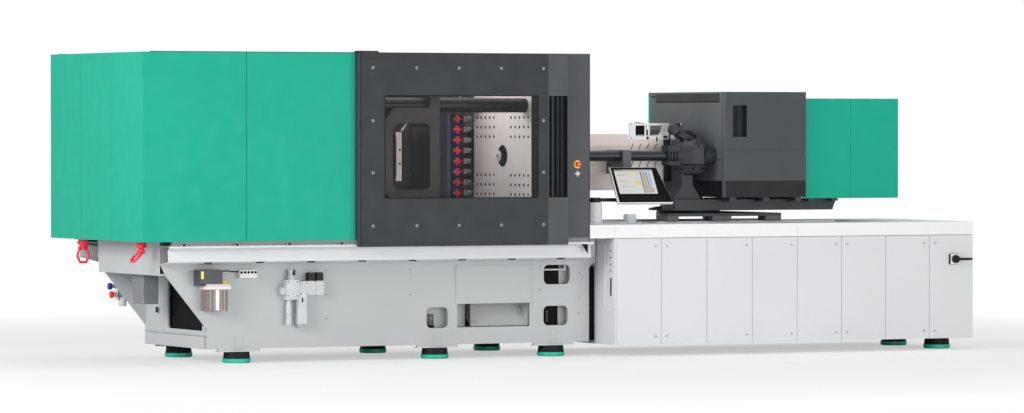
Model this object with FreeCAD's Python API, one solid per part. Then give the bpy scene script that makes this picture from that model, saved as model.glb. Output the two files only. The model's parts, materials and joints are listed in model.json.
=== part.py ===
# Injection moulding machine with a horizontal clamping unit on the left and a
# horizontal injection unit on the right. Millimetres.
# Frame: origin on the floor under the middle of the machine, +X from the clamping end to
# the injection end, -Y the operator's side, +Z up.
import FreeCAD, Part
import math
import os

Vector = FreeCAD.Vector

# ---------------------------------------------------------------- driving dimensions
# Clearances and sheet sizes
fit_gap = 0.3                 # between pieces that move past each other
hinge_play = 0.06             # radial, in a hinge eye
panel_gap = 3.0               # joint between two covers or doors
fold_play = 2.0               # between a fold and the opening it enters
cover_play = 2.0              # round what passes through a cover
sheet = 4.0                   # folded cover sheet
heavy_sheet = 12.0            # cabinet walls
cover_depth = 28.0            # folded edge of a cover panel
cover_flange = 34.0           # flange under the covers of the injection unit
seam_width = 3.0
seam_depth = 1.2
bracket_plate = 8.0

# Feet and welded base
foot_radius = 100.0
foot_rim = 8.0
foot_disc_height = 30.0
foot_height = 78.0
foot_taper = 5.0
foot_stud_radius = 14.0
foot_inset = 50.0             # from the outer face of the side plates to the foot axis
foot_tab_half = 160.0
foot_slot_spacing = 54.0
foot_slot_width = 16.0
foot_slot_height = 88.0
foot_slot_rise = 4.0
base_foot_x = [-2487.0, -947.0, -17.0]
base_half_width = 575.0       # outer faces of the side plates
side_plate = 20.0
base_bottom_z = 100.0
base_top_z = 850.0
base_toe_x = -2727.0          # where the sloped end meets the floor end
base_toe_z = 236.0
base_knee_x = -3043.0
base_knee_z = 619.0
base_head_x = -3090.0
base_right_x = 268.0
base_flare = 52.0             # outward sweep at the top of the right end
base_flare_z = 618.0
# Left, right, bottom and top of each access window in the side plates
side_windows = [(-1035.0, -863.0, 219.0, 366.0), (-98.0, 112.0, 519.0, 659.0),
                (-101.0, 96.0, 223.0, 363.0)]
side_window_corner = 36.0
chute_left_x = -791.0
chute_right_x = -211.0
chute_bottom_z = 221.0
chute_top_z = 645.0
chute_cover_z = 388.0
chute_cover_margin = 14.0
chute_fold_depth = 40.0
end_beam_depth = 90.0
end_beam_wall = 12.0
end_plate = 15.0
end_roof = 10.0
base_floor = 8.0
middle_beam_x = -1420.0
middle_beam_length = 120.0
bulkhead_opening_y = [-500.0, 150.0]
bulkhead_opening_z = [225.0, 592.0]
bulkhead_corner = 30.0
bulkhead_flange = 6.0
bulkhead_flange_z = 190.0
bulkhead_flange_depth = 10.0
end_box_x = [-3010.0, -2900.0]
end_box_y = [-96.0, 112.0]
end_box_bottom_z = 404.0
end_box_wall = 5.0
bed_beam_height = 70.0
bed_beam_width = 130.0
bed_left_x = -3262.0
rail_width = 60.0
rail_height = 30.0
rail_offset = 15.0            # from the middle of the bed beam, towards the axis

# Ledges along both sides
ledge_left_x = -3136.0
ledge_root_x = -3096.0
ledge_right_x = 156.0
ledge_bottom_z = 716.0
ledge_top_z = 829.0
ledge_root_z = 690.0
ledge_lip = 40.0
ledge_edge = 14.0
ledge_bend = 20.0
ledge_step = 18.0

# Enclosure
enclosure_half = 870.0
cover_left_x = -3333.0
cover_right_x = -1727.0
cover_front_seam_x = -2559.0
cover_end_panels = 3
cover_bottom_z = 859.0
enclosure_top_z = 2173.0
frame_depth = 80.0
column_left_x = -70.0
column_right_x = 124.0
jamb_width = 32.0
header_height = 73.0
lower_rail_depth = 40.0
lower_rail_inset = 20.0
upper_rail_depth = 20.0
upper_rail_inset = 60.0
top_rail_height = 5.0

# Sliding gates
gate_left_x = -1718.0
gate_body_right_x = -235.0
gate_bottom_z = 811.0
gate_top_gap = 1.0            # under the top of the enclosure
gate_back_gap = 2.0
gate_side_gap = 1.5
gate_depth = 43.0
gate_guide_height = 27.0
window_left_x = -1523.0
window_right_x = -310.0
window_bottom_z = 1148.0
window_top_z = 1878.0
window_corner = 6.0
pane_thickness = 6.0
pane_overlap = 15.0
grip_rib_count = 3
grip_rib_width = 9.0
grip_rib_depth = 14.0
grip_wall = 3.0
grip_margin = 3.0             # between the seam of the gate and its grip
roller_block_length = 158.0
roller_block_height = 10.0
roller_block_overhang = 8.0

# Clamping unit
axis_z = 1442.0
mould_face_x = -147.0
mould_opening = 732.0
platen_half = 470.0
fixed_platen_thickness = 237.0
platen_corner = 40.0
leg_width = 125.0
leg_inset = 40.0              # from the outer face of the bed to the outer face of a leg
leg_lap = 50.0
tie_bar_radius = 52.5
tie_bar_pitch = 735.0
tie_bar_play = 1.0
tie_bar_end = 16.0
tie_nut_radius = 88.0
tie_nut_length = 55.0
centring_radius = 80.0
centring_depth = 30.0
nozzle_bore_radius = 62.0
nozzle_throat = 60.0
nozzle_cone_play = 40.0
mould_hole_radius = 8.0
mould_hole_depth = 32.0
mould_hole_pitch = 70.0
# Hole columns to each side of the axis and rows above and below it, in pitches
fixed_hole_columns = [2, 3, 4, 5, 6]
fixed_hole_rows = [-4, -3, -2, 2, 3, 4]
moving_hole_columns = [2, 4, 6]
moving_hole_rows = [-4, -2, 2, 4]
moving_plate = 78.0
moving_depth = 430.0
rib_half_height = 350.0
rib_chamfer = 86.0
pocket_depth = 300.0
pocket_half_height = 238.0
pocket_length = 303.0
pocket_radius = 60.0
pocket_into_plate = 10.0
hub_radius = 170.0
shoe_length = 360.0
shoe_width = 105.0
ejector_radius = 24.0
ejector_length = 360.0
ejector_play = 0.5
ejector_setback = 4.0
ejector_nose = 30.0
ejector_waist = 6.0
ejector_waist_length = 12.0
ejector_edge = 4.0
ejector_bore_floor = 60.0
ram_radius = 140.0
ram_length = 1470.0
ram_play = 0.6
ram_edge = 12.0
cylinder_radius = 235.0
cylinder_left_x = -3010.0
cylinder_floor = 60.0
cylinder_edge = 20.0
cylinder_flare = 60.0
end_platen_x = -2500.0
end_platen_thickness = 250.0
manifold_valve_count = 8
manifold_pitch = 78.0
manifold_gap_x = 53.0
manifold_gap_y = 70.0
manifold_width = 108.0
manifold_depth = 60.0
manifold_drop = 314.0
manifold_lap = 40.0
manifold_stay_reach = 80.0
manifold_stay_half = 200.0
manifold_valve_x = 34.0
manifold_stem = 34.0
manifold_stem_radius = 13.0
manifold_knob_depth = 26.0
manifold_knob_radius = 29.0
manifold_port_y = 26.0
manifold_port = 38.0
manifold_port_radius = 13.0

# Injection side
deck_left_x = 124.0
deck_bottom_z = 853.0
deck_top_z = 950.0
deck_seams_x = [322.0, 1084.0, 1833.0]
deck_stop_x = 640.0
deck_stop_y = -470.0
deck_stop_length = 72.0
deck_stop_width = 70.0
deck_stop_height = 68.0
deck_stop_corner = 14.0
slide_rail_width = 60.0
slide_rail_height = 12.0
slide_rail_inset = 30.0
slide_rail_lead = 60.0
cabinet_left_x = 329.0
cabinet_bottom_z = 84.0
door_count = 8
door_pitch = 375.4
door_depth = 22.0
door_post_width = 40.0
door_lock_radius = 11.0
door_lock_edge = 46.0
door_lock_end = 58.0
door_lock_stand = 1.0
door_lock_setback = 2.0
door_hinge_side = [-1, 1, -1, -1, -1, 1, -1, 1]
mounting_plate_gap = 60.0
mounting_plate_inset = 30.0
link_beam_z = [240.0, 520.0]
link_beam_height = 80.0
cabinet_foot_x = 3158.0
cabinet_foot_y = [-640.0, -10.0]
switch_x = 3163.0
switch_z = 672.0
switch_plate = 78.0
switch_plate_depth = 26.0
switch_plate_corner = 8.0
switch_stem_radius = 8.0
switch_hub_radius = 30.0
switch_hub_depth = 20.0
switch_lever_length = 138.0
switch_lever_height = 20.0
switch_lever_taper = 2.0
switch_lever_depth = 12.0
switch_lever_stand = 3.0
pump_motor_x = 560.0
pump_motor_length = 390.0
pump_motor_radius = 140.0
pump_motor_edge = 30.0
pump_y = 120.0
pump_axis_height = 200.0
pump_half = 90.0
pump_length = 220.0
pump_flange_length = 60.0
pump_corner = 20.0
pump_rail_inset = 50.0

# Injection unit on its carriage
carriage_left_x = 961.0
carriage_right_x = 1915.0
carriage_half = 480.0
carriage_frame_z = [997.0, 1020.0]
carriage_rear_left_x = 1378.0
swivel_left_x = 1030.0
swivel_right_x = 2390.0
swivel_bottom_z = 1040.0
swivel_top_z = 1121.0
swivel_taper = 34.0
swivel_half = 470.0
swivel_nose_y = -290.0
swivel_plate_z = 1088.0
swivel_rear_x = 1405.0
turntable_radius = 235.0
turntable_x = 1395.0
turntable_flange_radius = 296.0
turntable_flange_z = [1036.0, 1050.0]
turntable_neck_radius = 240.0
turntable_neck_z = 1062.0
outrigger_x = [1420.0, 1700.0, 1970.0, 2110.0, 2310.0]
outrigger_width = 50.0
outrigger_depth = 15.0
outrigger_lap = 30.0
front_shoes_x = [(961.0, 1056.0), (1337.0, 1495.0), (1786.0, 1915.0)]
rear_shoes_x = [(1378.0, 1473.0), (1775.0, 1915.0)]
shoe_block_width = 120.0
housing_left_x = 1060.0
housing_right_x = 1330.0
traverse_y = 400.0
traverse_radius = 37.5
traverse_play = 0.6
traverse_flange = 24.0
traverse_flange_radius = 65.0
traverse_barrel_radius = 70.0
traverse_barrel_right_x = 1800.0
traverse_rod_right_x = 1620.0
traverse_floor = 40.0
head_x = 1200.0
head_half_length = 117.0
head_half_width = 123.0
head_corner = 76.0
# Heights of the head's corners, each with the share of the full outline that it has there
head_steps = [(1311.0, 0.7), (1379.0, 1.0), (1519.0, 1.0), (1550.0, 0.5)]
clamp_ring_radius = 62.0
clamp_ring_left_x = 985.0
clamp_half_width = 56.0
clamp_upper_z = [1472.0, 1517.0]
clamp_lower_z = [1374.0, 1402.0]
column_x = 1152.0
column_y = 350.0
column_half_width = 45.0
column_half_depth = 84.0
column_flare = 70.0
column_flare_height = 110.0
arm_inset = 40.0
arm_half_height = 66.0
seat_inset_left = 20.0
seat_inset_right = 10.0
seat_half = 190.0
seat_corner = 30.0
throat_half = 150.0
barrel_radius = 75.0
barrel_bore = 38.0
barrel_right_x = 1820.0
heater_bands_x = [180.0, 360.0, 540.0, 720.0, 880.0]
heater_length = 150.0
heater_thickness = 14.0
screw_play = 0.5
screw_tip_setback = 100.0
screw_tip_length = 40.0
nozzle_reach = 40.0           # past the mould face
nozzle_radius = 41.0
nozzle_bore = 9.0
nozzle_tip_radius = 16.0
nozzle_tip_length = 10.0
nozzle_shoulder = 20.0
guard_half = 200.0
guard_bottom_z = 1190.0
guard_top_z = 1600.0
guard_split_x = 780.0
guard_play = 2.0
guard_back_plate = 8.0
guard_barrel_play = 16.0
guard_overlap = 420.0
guard_slot_rows_z = [1511.0, 1381.0]
guard_slot_count = 4
guard_slot_x = 808.0
guard_slot_pitch = 65.0
guard_slot_length = 44.0
guard_slot_width = 7.0
guard_slot_lean = 20.0
hatch_left_x = 795.0
hatch_right_x = 1126.0
hatch_height = 86.0
hatch_windows_x = [(849.0, 924.0), (938.0, 955.0)]
hatch_windows_z = [1586.0, 1664.0]
# Lower right edge of the hatch's large opening, from its top corner down to its left
hatch_curve = [(1069.0, 1664.0), (1060.0, 1632.0), (1053.0, 1609.0), (1035.0, 1592.0),
               (998.0, 1586.0)]
hatch_opening_left_x = 968.0
steady_x = 606.0
steady_length = 66.0
steady_rise = 42.0
steady_drop = 130.0
steady_reach = 62.0
unit_cover_left_x = 1377.0
unit_cover_right_x = 2057.0
unit_cover_half = 600.0
unit_cover_bottom_z = 1136.0
unit_cover_top_z = 1911.0
unit_band_z = 1257.0
unit_seam_z = 1484.0
unit_seam_inset = 30.0
grip_recess_left_x = 1442.0
grip_recess_right_x = 1560.0
grip_recess_bottom_z = 1581.0
grip_recess_top_z = 1812.0
grip_recess_depth = 55.0
end_flap_y = [-515.0, 480.0]
end_flap_drop = [73.0, 12.0]  # from the top of the cover to the flap's lower and upper edge
drive_cover_right_x = 2875.0
drive_cover_half = 550.0
drive_cover_bottom_z = 1125.0
drive_cover_top_z = 1864.0
drive_seam_x = 2466.0
motor_gap = 80.0              # from the end of the barrel
motor_length = 340.0
motor_radius = 150.0
motor_edge = 30.0
motor_collar = 60.0
motor_collar_step = 50.0
motor_collar_play = 4.0
motor_yoke_x = 80.0
motor_yoke_length = 100.0
motor_yoke_half = 270.0
motor_yoke_height = 120.0
motor_shoe_width = 60.0

# Operator's controls
estop_x = 22.0
estop_z = 1386.0
estop_ring_radius = 30.0
estop_ring_depth = 5.0
estop_ring_bevel = 3.0
estop_button_radius = 20.0
estop_button_depth = 22.0
estop_travel = 5.0
estop_stem_radius = 8.0
estop_stem_length = 20.0
key_z = 1319.0
key_radius = 13.0
key_depth = 7.0
key_stem_radius = 7.5
key_stem_length = 12.0
key_slot_width = 3.0
key_slot_half = 8.0
key_slot_depth = 4.0
post_x = 227.0
post_y = -740.0
post_radius = 55.0
post_top_z = 1110.0
arm_height = 34.0
arm_width = 44.0
arm_step = 4.0
arm_hub_radius = 44.0
riser_inset = 60.0
riser_width = 30.0
cheek_radius = 26.0
tilt_pin_radius = 9.0
tilt_pin_length = 170.0
panel_left_x = 358.0
panel_top_right_x = 742.0
panel_bottom_right_x = 802.0
panel_bottom_z = 1106.0
panel_bottom_y = -872.0
panel_rise = 258.0
panel_lean = 150.0
panel_thickness = 24.0
tilt_rise = 110.0
lug_half = 22.0
bezel_left = 46.0
bezel_top = 26.0
bezel_bottom = 76.0
bezel_right = 70.0
screen_recess = 2.0

# Lifting points
hoist_x = -3215.0
hoist_y = 545.0
hoist_edge = 5.0
hoist_cap_radius = 36.0
hoist_cap_height = 34.0
hoist_neck_radius = 19.0
hoist_pivot_drop = 62.0
hoist_pin_radius = 8.0
hoist_pin_half = 34.0
hoist_eye_radius = 16.0
hoist_loop_half = 44.0
hoist_loop_bend = 52.0
hoist_loop_foot = 24.0
hoist_loop_bar = 9.0
hoist_loop_reach = 108.0
hoist_front_lean = 45.0

# Service units on the side plates
lube_left_x = -2833.0
lube_right_x = -2629.0
lube_bottom_z = 559.0
lube_top_z = 656.0
lube_depth = 110.0
lube_corner = 6.0
lube_lid_left_x = -2790.0
lube_lid_right_x = -2567.0
lube_lid_height = 38.0
lube_lid_overhang = 10.0
lube_cap_radius = 20.0
lube_cap_height = 22.0
lube_cap_inset = 30.0
lube_tank_left_x = -2780.0
lube_tank_right_x = -2587.0
lube_tank_bottom_z = 370.0
lube_tank_gap = 6.0
lube_tank_wall = 5.0
lube_tank_corner = 14.0
distributor_left_x = -2503.0
distributor_right_x = -2370.0
distributor_bottom_z = 598.0
distributor_top_z = 652.0
distributor_depth = 46.0
distributor_ports = 5
distributor_port_radius = 8.0
distributor_port_length = 9.0
air_left_x = -2190.0
air_z = 470.0
air_depth = 70.0
air_inlet_length = 35.0
air_inlet_radius = 30.0
air_main_width = 97.0
air_main_drop = 15.0
air_main_height = 111.0
air_knob_radius = 19.0
air_knob_height = 69.0
air_collar_step = 5.0
air_collar_rise = [20.0, 45.0]
air_silencer_radius = 22.0
air_silencer_length = 208.0
air_bowl_radius = 32.0
air_bowl_length = 228.0
air_neck_length = 55.0
air_branch_width = 73.0
air_valve_count = 2
air_valve_pitch = 62.0
air_valve_height = 100.0
air_valve_step = 6.0
air_switch_height = 58.0
valve_x = -2925.0
valve_z = 452.0
valve_depth = 70.0
valve_spacing = 60.0
valve_pipe_radius = 17.0
valve_pipe_drop = 40.0
valve_body_length = 150.0
valve_body_half = 17.0
valve_stem_radius = 14.0
valve_upper_reach = 46.0
valve_lower_reach = 32.0
valve_knob_radius = 25.0
valve_knob_length = 24.0
strainer_x = 40.0
strainer_radius = 28.0
strainer_length = 84.0
strainer_edge = 6.0

# ---------------------------------------------------------------- values that follow
outer_y = enclosure_half + gate_back_gap + gate_depth
base_inner = base_half_width - side_plate
bed_top_z = base_top_z + bed_beam_height
rail_top_z = bed_top_z + rail_height
fixed_back_x = mould_face_x + fixed_platen_thickness
moving_face_x = mould_face_x - mould_opening
moving_back_x = moving_face_x - moving_depth
platen_bottom_z = axis_z - platen_half
platen_top_z = axis_z + platen_half
bar_offset = tie_bar_pitch / 2.0
leg_outer_y = base_half_width - leg_inset
gate_right_x = column_left_x - gate_side_gap
gate_top_z = enclosure_top_z - gate_top_gap
gate_inner_y = enclosure_half + gate_back_gap
grip_left_x = gate_body_right_x + grip_margin
grip_right_x = gate_right_x - sheet
pane_left_x = window_left_x - pane_overlap
pane_right_x = window_right_x + pane_overlap
deck_back_y = base_half_width
cabinet_right_x = cabinet_left_x + door_count * door_pitch
deck_right_x = cabinet_right_x
slide_rail_top_z = deck_top_z + slide_rail_height
slide_rail_y = carriage_half - slide_rail_inset
seat_left_x = housing_left_x + seat_inset_left
seat_right_x = housing_right_x - seat_inset_right
guard_back_x = seat_left_x - guard_back_plate
ram_left_x = moving_back_x - ram_length
motor_left_x = barrel_right_x + motor_gap
tilt_z = panel_bottom_z + tilt_rise
feet = [(x, s * (base_half_width - foot_inset), foot_height) for x in base_foot_x for s in (-1, 1)]
feet += [(cabinet_foot_x, y, cabinet_bottom_z) for y in cabinet_foot_y]


# ---------------------------------------------------------------- shape helpers
def block(x0, x1, y0, y1, z0, z1):
    return Part.makeBox(x1 - x0, y1 - y0, z1 - z0, Vector(x0, y0, z0))


def rod_x(x0, x1, y, z, radius):
    return Part.makeCylinder(radius, x1 - x0, Vector(x0, y, z), Vector(1, 0, 0))


def rod_y(x, y0, y1, z, radius):
    return Part.makeCylinder(radius, y1 - y0, Vector(x, y0, z), Vector(0, 1, 0))


def rod_z(x, y, z0, z1, radius):
    return Part.makeCylinder(radius, z1 - z0, Vector(x, y, z0), Vector(0, 0, 1))


def prism(points, way):
    wire = Part.makePolygon(points + [points[0]])
    return Part.Face(wire).extrude(way)


def prism_y(points_xz, y0, y1):
    return prism([Vector(x, y0, z) for x, z in points_xz], Vector(0, y1 - y0, 0))


def prism_x(points_yz, x0, x1):
    return prism([Vector(x0, y, z) for y, z in points_yz], Vector(x1 - x0, 0, 0))


def prism_z(points_xy, z0, z1):
    return prism([Vector(x, y, z0) for x, y in points_xy], Vector(0, 0, z1 - z0))


def turned_z(x, y, profile):
    """Solid of revolution about the vertical through (x, y) from (radius, z) points."""
    points = [Vector(x + r, y, z) for r, z in profile]
    face = Part.Face(Part.makePolygon(points + [points[0]]))
    return face.revolve(Vector(x, y, 0), Vector(0, 0, 1), 360)


def turned_x(y, z, profile):
    """Solid of revolution about the line along X through (y, z) from (x, radius) points."""
    points = [Vector(x, y, z + r) for x, r in profile]
    face = Part.Face(Part.makePolygon(points + [points[0]]))
    return face.revolve(Vector(0, y, z), Vector(1, 0, 0), 360)


def polygon_x(x0, x1, y, z, radius, sides):
    half = math.pi / sides
    ring = [(y + radius * math.sin(half + 2 * half * k), z + radius * math.cos(half + 2 * half * k))
            for k in range(sides)]
    return prism_x(ring, x0, x1)


def polygon_y(x, y0, y1, z, radius, sides):
    half = math.pi / sides
    ring = [(x + radius * math.sin(half + 2 * half * k), z + radius * math.cos(half + 2 * half * k))
            for k in range(sides)]
    return prism_y(ring, y0, y1)


def strut(start, end, radius):
    way = end.sub(start)
    return Part.makeCylinder(radius, way.Length, start, way)


def tube_x(x0, x1, half_y, z0, z1, wall):
    outer = block(x0, x1, -half_y, half_y, z0, z1)
    return outer.cut(block(x0 - 1, x1 + 1, -half_y + wall, half_y - wall, z0 + wall, z1 - wall))


def hollow_block(x, y, z, wall):
    """Closed box with one wall thickness, from pairs of lower and upper limits."""
    outer = block(x[0], x[1], y[0], y[1], z[0], z[1])
    return outer.cut(block(x[0] + wall, x[1] - wall, y[0] + wall, y[1] - wall, z[0] + wall,
                           z[1] - wall))


def rounded_edges(shape, radius, axis):
    """Round the straight edges that run along one axis."""
    edges = []
    for edge in shape.Edges:
        line = edge.Vertexes[-1].Point.sub(edge.Vertexes[0].Point)
        if line.Length > 1e-6 and abs(line.dot(axis)) > 0.999 * line.Length:
            edges.append(edge)
    return shape.makeFillet(radius, edges)


def rounded_block_y(x0, x1, y0, y1, z0, z1, radius):
    return rounded_edges(block(x0, x1, y0, y1, z0, z1), radius, Vector(0, 1, 0))


def slot_y(x0, x1, y0, y1, z0, z1):
    """Upright slot through a plate along Y, with round ends."""
    radius = (x1 - x0) / 2.0
    middle = (x0 + x1) / 2.0
    body = block(x0, x1, y0, y1, z0 + radius, z1 - radius)
    return body.fuse([rod_y(middle, y0, y1, z0 + radius, radius),
                      rod_y(middle, y0, y1, z1 - radius, radius)]).removeSplitter()


def mirrored(shape):
    return shape.mirror(Vector(0, 0, 0), Vector(0, 1, 0))


def one(shapes):
    first = shapes[0]
    return first.fuse(shapes[1:]).removeSplitter()


def group(shapes):
    return Part.makeCompound(shapes)


def folded_panel_y(x0, x1, z0, z1):
    """Cover panel that faces the operator: a sheet with its four edges folded back."""
    face_y = -enclosure_half
    outer = block(x0, x1, face_y, face_y + cover_depth, z0, z1)
    inner = block(x0 + sheet, x1 - sheet, face_y + sheet, face_y + cover_depth + 1.0,
                  z0 + sheet, z1 - sheet)
    return outer.cut(inner)


# ---------------------------------------------------------------- base and feet
def foot_discs():
    shapes = []
    for x, y, top in feet:
        profile = [(0, 0), (foot_radius - foot_rim, 0), (foot_radius, foot_rim),
                   (foot_radius, foot_disc_height), (foot_stud_radius, foot_disc_height),
                   (foot_stud_radius, top), (0, top)]
        shapes.append(turned_z(x, y, profile))
    return group(shapes)


def foot_rubbers():
    bore = foot_stud_radius + fit_gap
    shapes = []
    for x, y, top in feet:
        profile = [(bore, foot_disc_height), (foot_radius - foot_taper, foot_disc_height),
                   (foot_radius - foot_taper * 2, top), (bore, top)]
        shapes.append(turned_z(x, y, profile))
    return group(shapes)


def side_outline():
    points = [(base_head_x, base_top_z), (base_head_x, ledge_bottom_z), (base_knee_x, base_knee_z),
              (base_toe_x, base_toe_z), (base_toe_x, base_bottom_z)]
    for x in base_foot_x:
        points += [(x - foot_tab_half, base_bottom_z), (x - foot_tab_half, foot_height),
                   (x + foot_tab_half, foot_height), (x + foot_tab_half, base_bottom_z)]
    points += [(base_right_x, base_bottom_z), (base_right_x, base_flare_z)]
    steps = 4
    for k in range(1, steps + 1):
        turn = math.pi / 2 * k / steps
        points.append((base_right_x + base_flare * (1 - math.cos(turn)),
                       base_flare_z + base_flare * math.sin(turn)))
    points.append((base_right_x + base_flare, base_top_z))
    return points


def side_plate_front():
    """Front side plate with its access windows, the parts opening and slots over the feet."""
    y0 = -base_half_width
    y1 = -base_inner
    plate = prism_y(side_outline(), y0, y1)
    cuts = []
    for x0, x1, z0, z1 in side_windows:
        cuts.append(rounded_block_y(x0, x1, y0 - 1, y1 + 1, z0, z1, side_window_corner))
    cuts.append(block(chute_left_x, chute_right_x, y0 - 1, y1 + 1, chute_bottom_z, chute_top_z))
    slot_z = base_bottom_z + foot_slot_rise
    for x in base_foot_x:
        for side in (-1, 1):
            left = x + side * foot_slot_spacing / 2.0 - foot_slot_width / 2.0
            cuts.append(slot_y(left, left + foot_slot_width, y0 - 1, y1 + 1, slot_z,
                               slot_z + foot_slot_height))
    return plate.cut(cuts)


def chute_cover():
    """Folded cover over the upper part of the parts opening in the front side plate."""
    y0 = -base_half_width - sheet
    outer = block(chute_left_x - chute_cover_margin, chute_right_x + chute_cover_margin, y0,
                  -base_half_width, chute_cover_z, chute_top_z + chute_cover_margin)
    fold = block(chute_left_x + fold_play, chute_right_x - fold_play, -base_half_width,
                 -base_half_width + chute_fold_depth, chute_cover_z, chute_cover_z + sheet)
    return one([outer, fold])


def cross_beam(x0, x1):
    """Rectangular tube across the base, under the bed."""
    beam = block(x0, x1, -base_inner, base_inner, base_flare_z, base_top_z)
    hollow = block(x0 + end_beam_wall, x1 - end_beam_wall, -base_inner - 1, base_inner + 1,
                   base_flare_z + end_beam_wall, base_top_z - end_beam_wall)
    return beam.cut(hollow)


def base_end_frame():
    """Cross beams, sloped-end bulkhead with its access opening, floor plate and end box."""
    wide = base_inner
    beam_right_x = base_head_x + end_beam_depth
    beams = [cross_beam(base_head_x, beam_right_x),
             cross_beam(middle_beam_x, middle_beam_x + middle_beam_length),
             cross_beam(mould_face_x, fixed_back_x)]
    bulkhead = block(base_toe_x, base_toe_x + end_plate, -wide, wide, base_bottom_z, base_flare_z)
    opening = block(base_toe_x - 1, base_toe_x + end_plate + 1, bulkhead_opening_y[0],
                    bulkhead_opening_y[1], bulkhead_opening_z[0], bulkhead_opening_z[1])
    opening = rounded_edges(opening, bulkhead_corner, Vector(1, 0, 0))
    flange = block(base_toe_x - bulkhead_flange_depth, base_toe_x, -wide, wide,
                   bulkhead_flange_z, bulkhead_flange_z + bulkhead_flange)
    bulkhead = one([bulkhead.cut(opening), flange])
    box = hollow_block(end_box_x, end_box_y, [end_box_bottom_z, base_flare_z], end_box_wall)
    roof = block(beam_right_x, base_toe_x + end_plate, -wide, wide, base_flare_z,
                 base_flare_z + end_roof)
    end_wall = block(base_right_x - end_plate, base_right_x, -wide, wide, base_bottom_z,
                     base_flare_z)
    floor_plate = block(base_toe_x + end_plate, base_right_x - end_plate, -wide, wide,
                        base_bottom_z, base_bottom_z + base_floor)
    return group(beams + [bulkhead, box, roof, end_wall, floor_plate])


def machine_bed():
    """Two longitudinal beams with a guide rail on each, for the platens."""
    shapes = []
    for side in (-1, 1):
        inner = side * (base_half_width - bed_beam_width)
        outer = side * base_half_width
        y0, y1 = sorted((inner, outer))
        beam = block(bed_left_x, fixed_back_x, y0, y1, base_top_z, bed_top_z)
        middle = (y0 + y1) / 2.0 - side * rail_offset
        rail = block(cylinder_left_x, mould_face_x - fit_gap, middle - rail_width / 2.0,
                     middle + rail_width / 2.0, bed_top_z, rail_top_z)
        shapes.append(one([beam, rail]))
    return group(shapes)


def ledge_front():
    """Folded sheet ledge under the enclosure, open towards the base, slanted at its end."""
    top_y = -enclosure_half
    low_y = -enclosure_half + ledge_lip
    bend_y = low_y + ledge_step
    root_y = -base_half_width
    edge_z = ledge_top_z - ledge_edge
    bend_z = edge_z - ledge_bend
    outer = [(root_y, ledge_top_z), (top_y, ledge_top_z), (top_y, edge_z), (bend_y, bend_z),
             (low_y, ledge_bottom_z), (root_y, ledge_root_z)]
    inner = [(root_y + 1.0, ledge_top_z - sheet), (top_y + sheet, ledge_top_z - sheet),
             (top_y + sheet, edge_z + sheet / 2.0), (bend_y + sheet, bend_z + sheet / 2.0),
             (low_y + sheet, ledge_bottom_z + sheet), (root_y + 1.0, ledge_root_z + sheet)]
    shell = prism_x(outer, ledge_left_x, ledge_right_x)
    shell = shell.cut(prism_x(inner, ledge_left_x + sheet, ledge_right_x - sheet))
    slant = prism_z([(ledge_left_x - 1, top_y - 1), (ledge_left_x, top_y - 1),
                     (ledge_root_x, root_y + 1), (ledge_left_x - 1, root_y + 1)],
                    ledge_root_z - 1, ledge_top_z + 1)
    return shell.cut(slant)


# ---------------------------------------------------------------- enclosure
def clamp_cover_panels():
    """Folded cover panels round the drive end: front, rear, end and roof."""
    shapes = []
    z0 = cover_bottom_z
    z1 = enclosure_top_z
    half = panel_gap / 2.0
    for x0, x1 in [(cover_left_x, cover_front_seam_x - half),
                   (cover_front_seam_x + half, cover_right_x - fit_gap)]:
        front = folded_panel_y(x0, x1, z0, z1)
        shapes += [front, mirrored(front)]
    wide = 2.0 * (enclosure_half - cover_depth)
    pitch = wide / cover_end_panels
    for k in range(cover_end_panels):
        y0 = -enclosure_half + cover_depth + pitch * k + half * (k > 0)
        y1 = -enclosure_half + cover_depth + pitch * (k + 1) - half * (k < cover_end_panels - 1)
        outer = block(cover_left_x, cover_left_x + cover_depth, y0, y1, z0, z1)
        inner = block(cover_left_x + sheet, cover_left_x + cover_depth + 1, y0 + sheet, y1 - sheet,
                      z0 + sheet, z1 - sheet)
        shapes.append(outer.cut(inner))
    roof_half = enclosure_half - cover_depth
    roof = block(cover_left_x + cover_depth, cover_right_x, -roof_half, roof_half,
                 z1 - cover_depth, z1)
    roof = roof.cut(block(cover_left_x + cover_depth + sheet, cover_right_x - sheet,
                          -roof_half + sheet, roof_half - sheet, z1 - cover_depth - 1, z1 - sheet))
    shapes.append(roof)
    return group(shapes)


def gate_frame():
    """Welded frame of the gateway: column, jamb, header and the lower and upper rails."""
    y0 = -enclosure_half
    y1 = y0 + frame_depth
    column = block(column_left_x, column_right_x, y0, y1, cover_bottom_z, enclosure_top_z)
    column = column.cut(block(column_left_x + sheet, column_right_x - sheet, y0 + sheet, y1 + 1,
                              cover_bottom_z + sheet, enclosure_top_z - sheet))
    stem = rod_y(estop_x, y0 - 1, y0 + sheet + 1, estop_z, estop_stem_radius + fit_gap)
    key = rod_y(estop_x, y0 - 1, y0 + sheet + 1, key_z, key_stem_radius + fit_gap)
    column = column.cut([stem, key])
    jamb = block(cover_right_x, cover_right_x + jamb_width, y0, y1, cover_bottom_z,
                 enclosure_top_z)
    header = block(cover_right_x + jamb_width, column_left_x, y0, y1,
                   enclosure_top_z - header_height, enclosure_top_z)
    header = header.cut(block(cover_right_x + jamb_width, column_left_x, y0 + sheet, y1 - sheet,
                              enclosure_top_z - header_height + sheet, enclosure_top_z - sheet))
    lower = block(ledge_left_x + lower_rail_inset, column_right_x, y0, y0 + lower_rail_depth,
                  ledge_top_z, cover_bottom_z)
    upper = block(cover_left_x + upper_rail_inset, column_right_x, y0, y0 + upper_rail_depth,
                  enclosure_top_z, enclosure_top_z + top_rail_height)
    return one([column, jamb, header, lower, upper])


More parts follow.
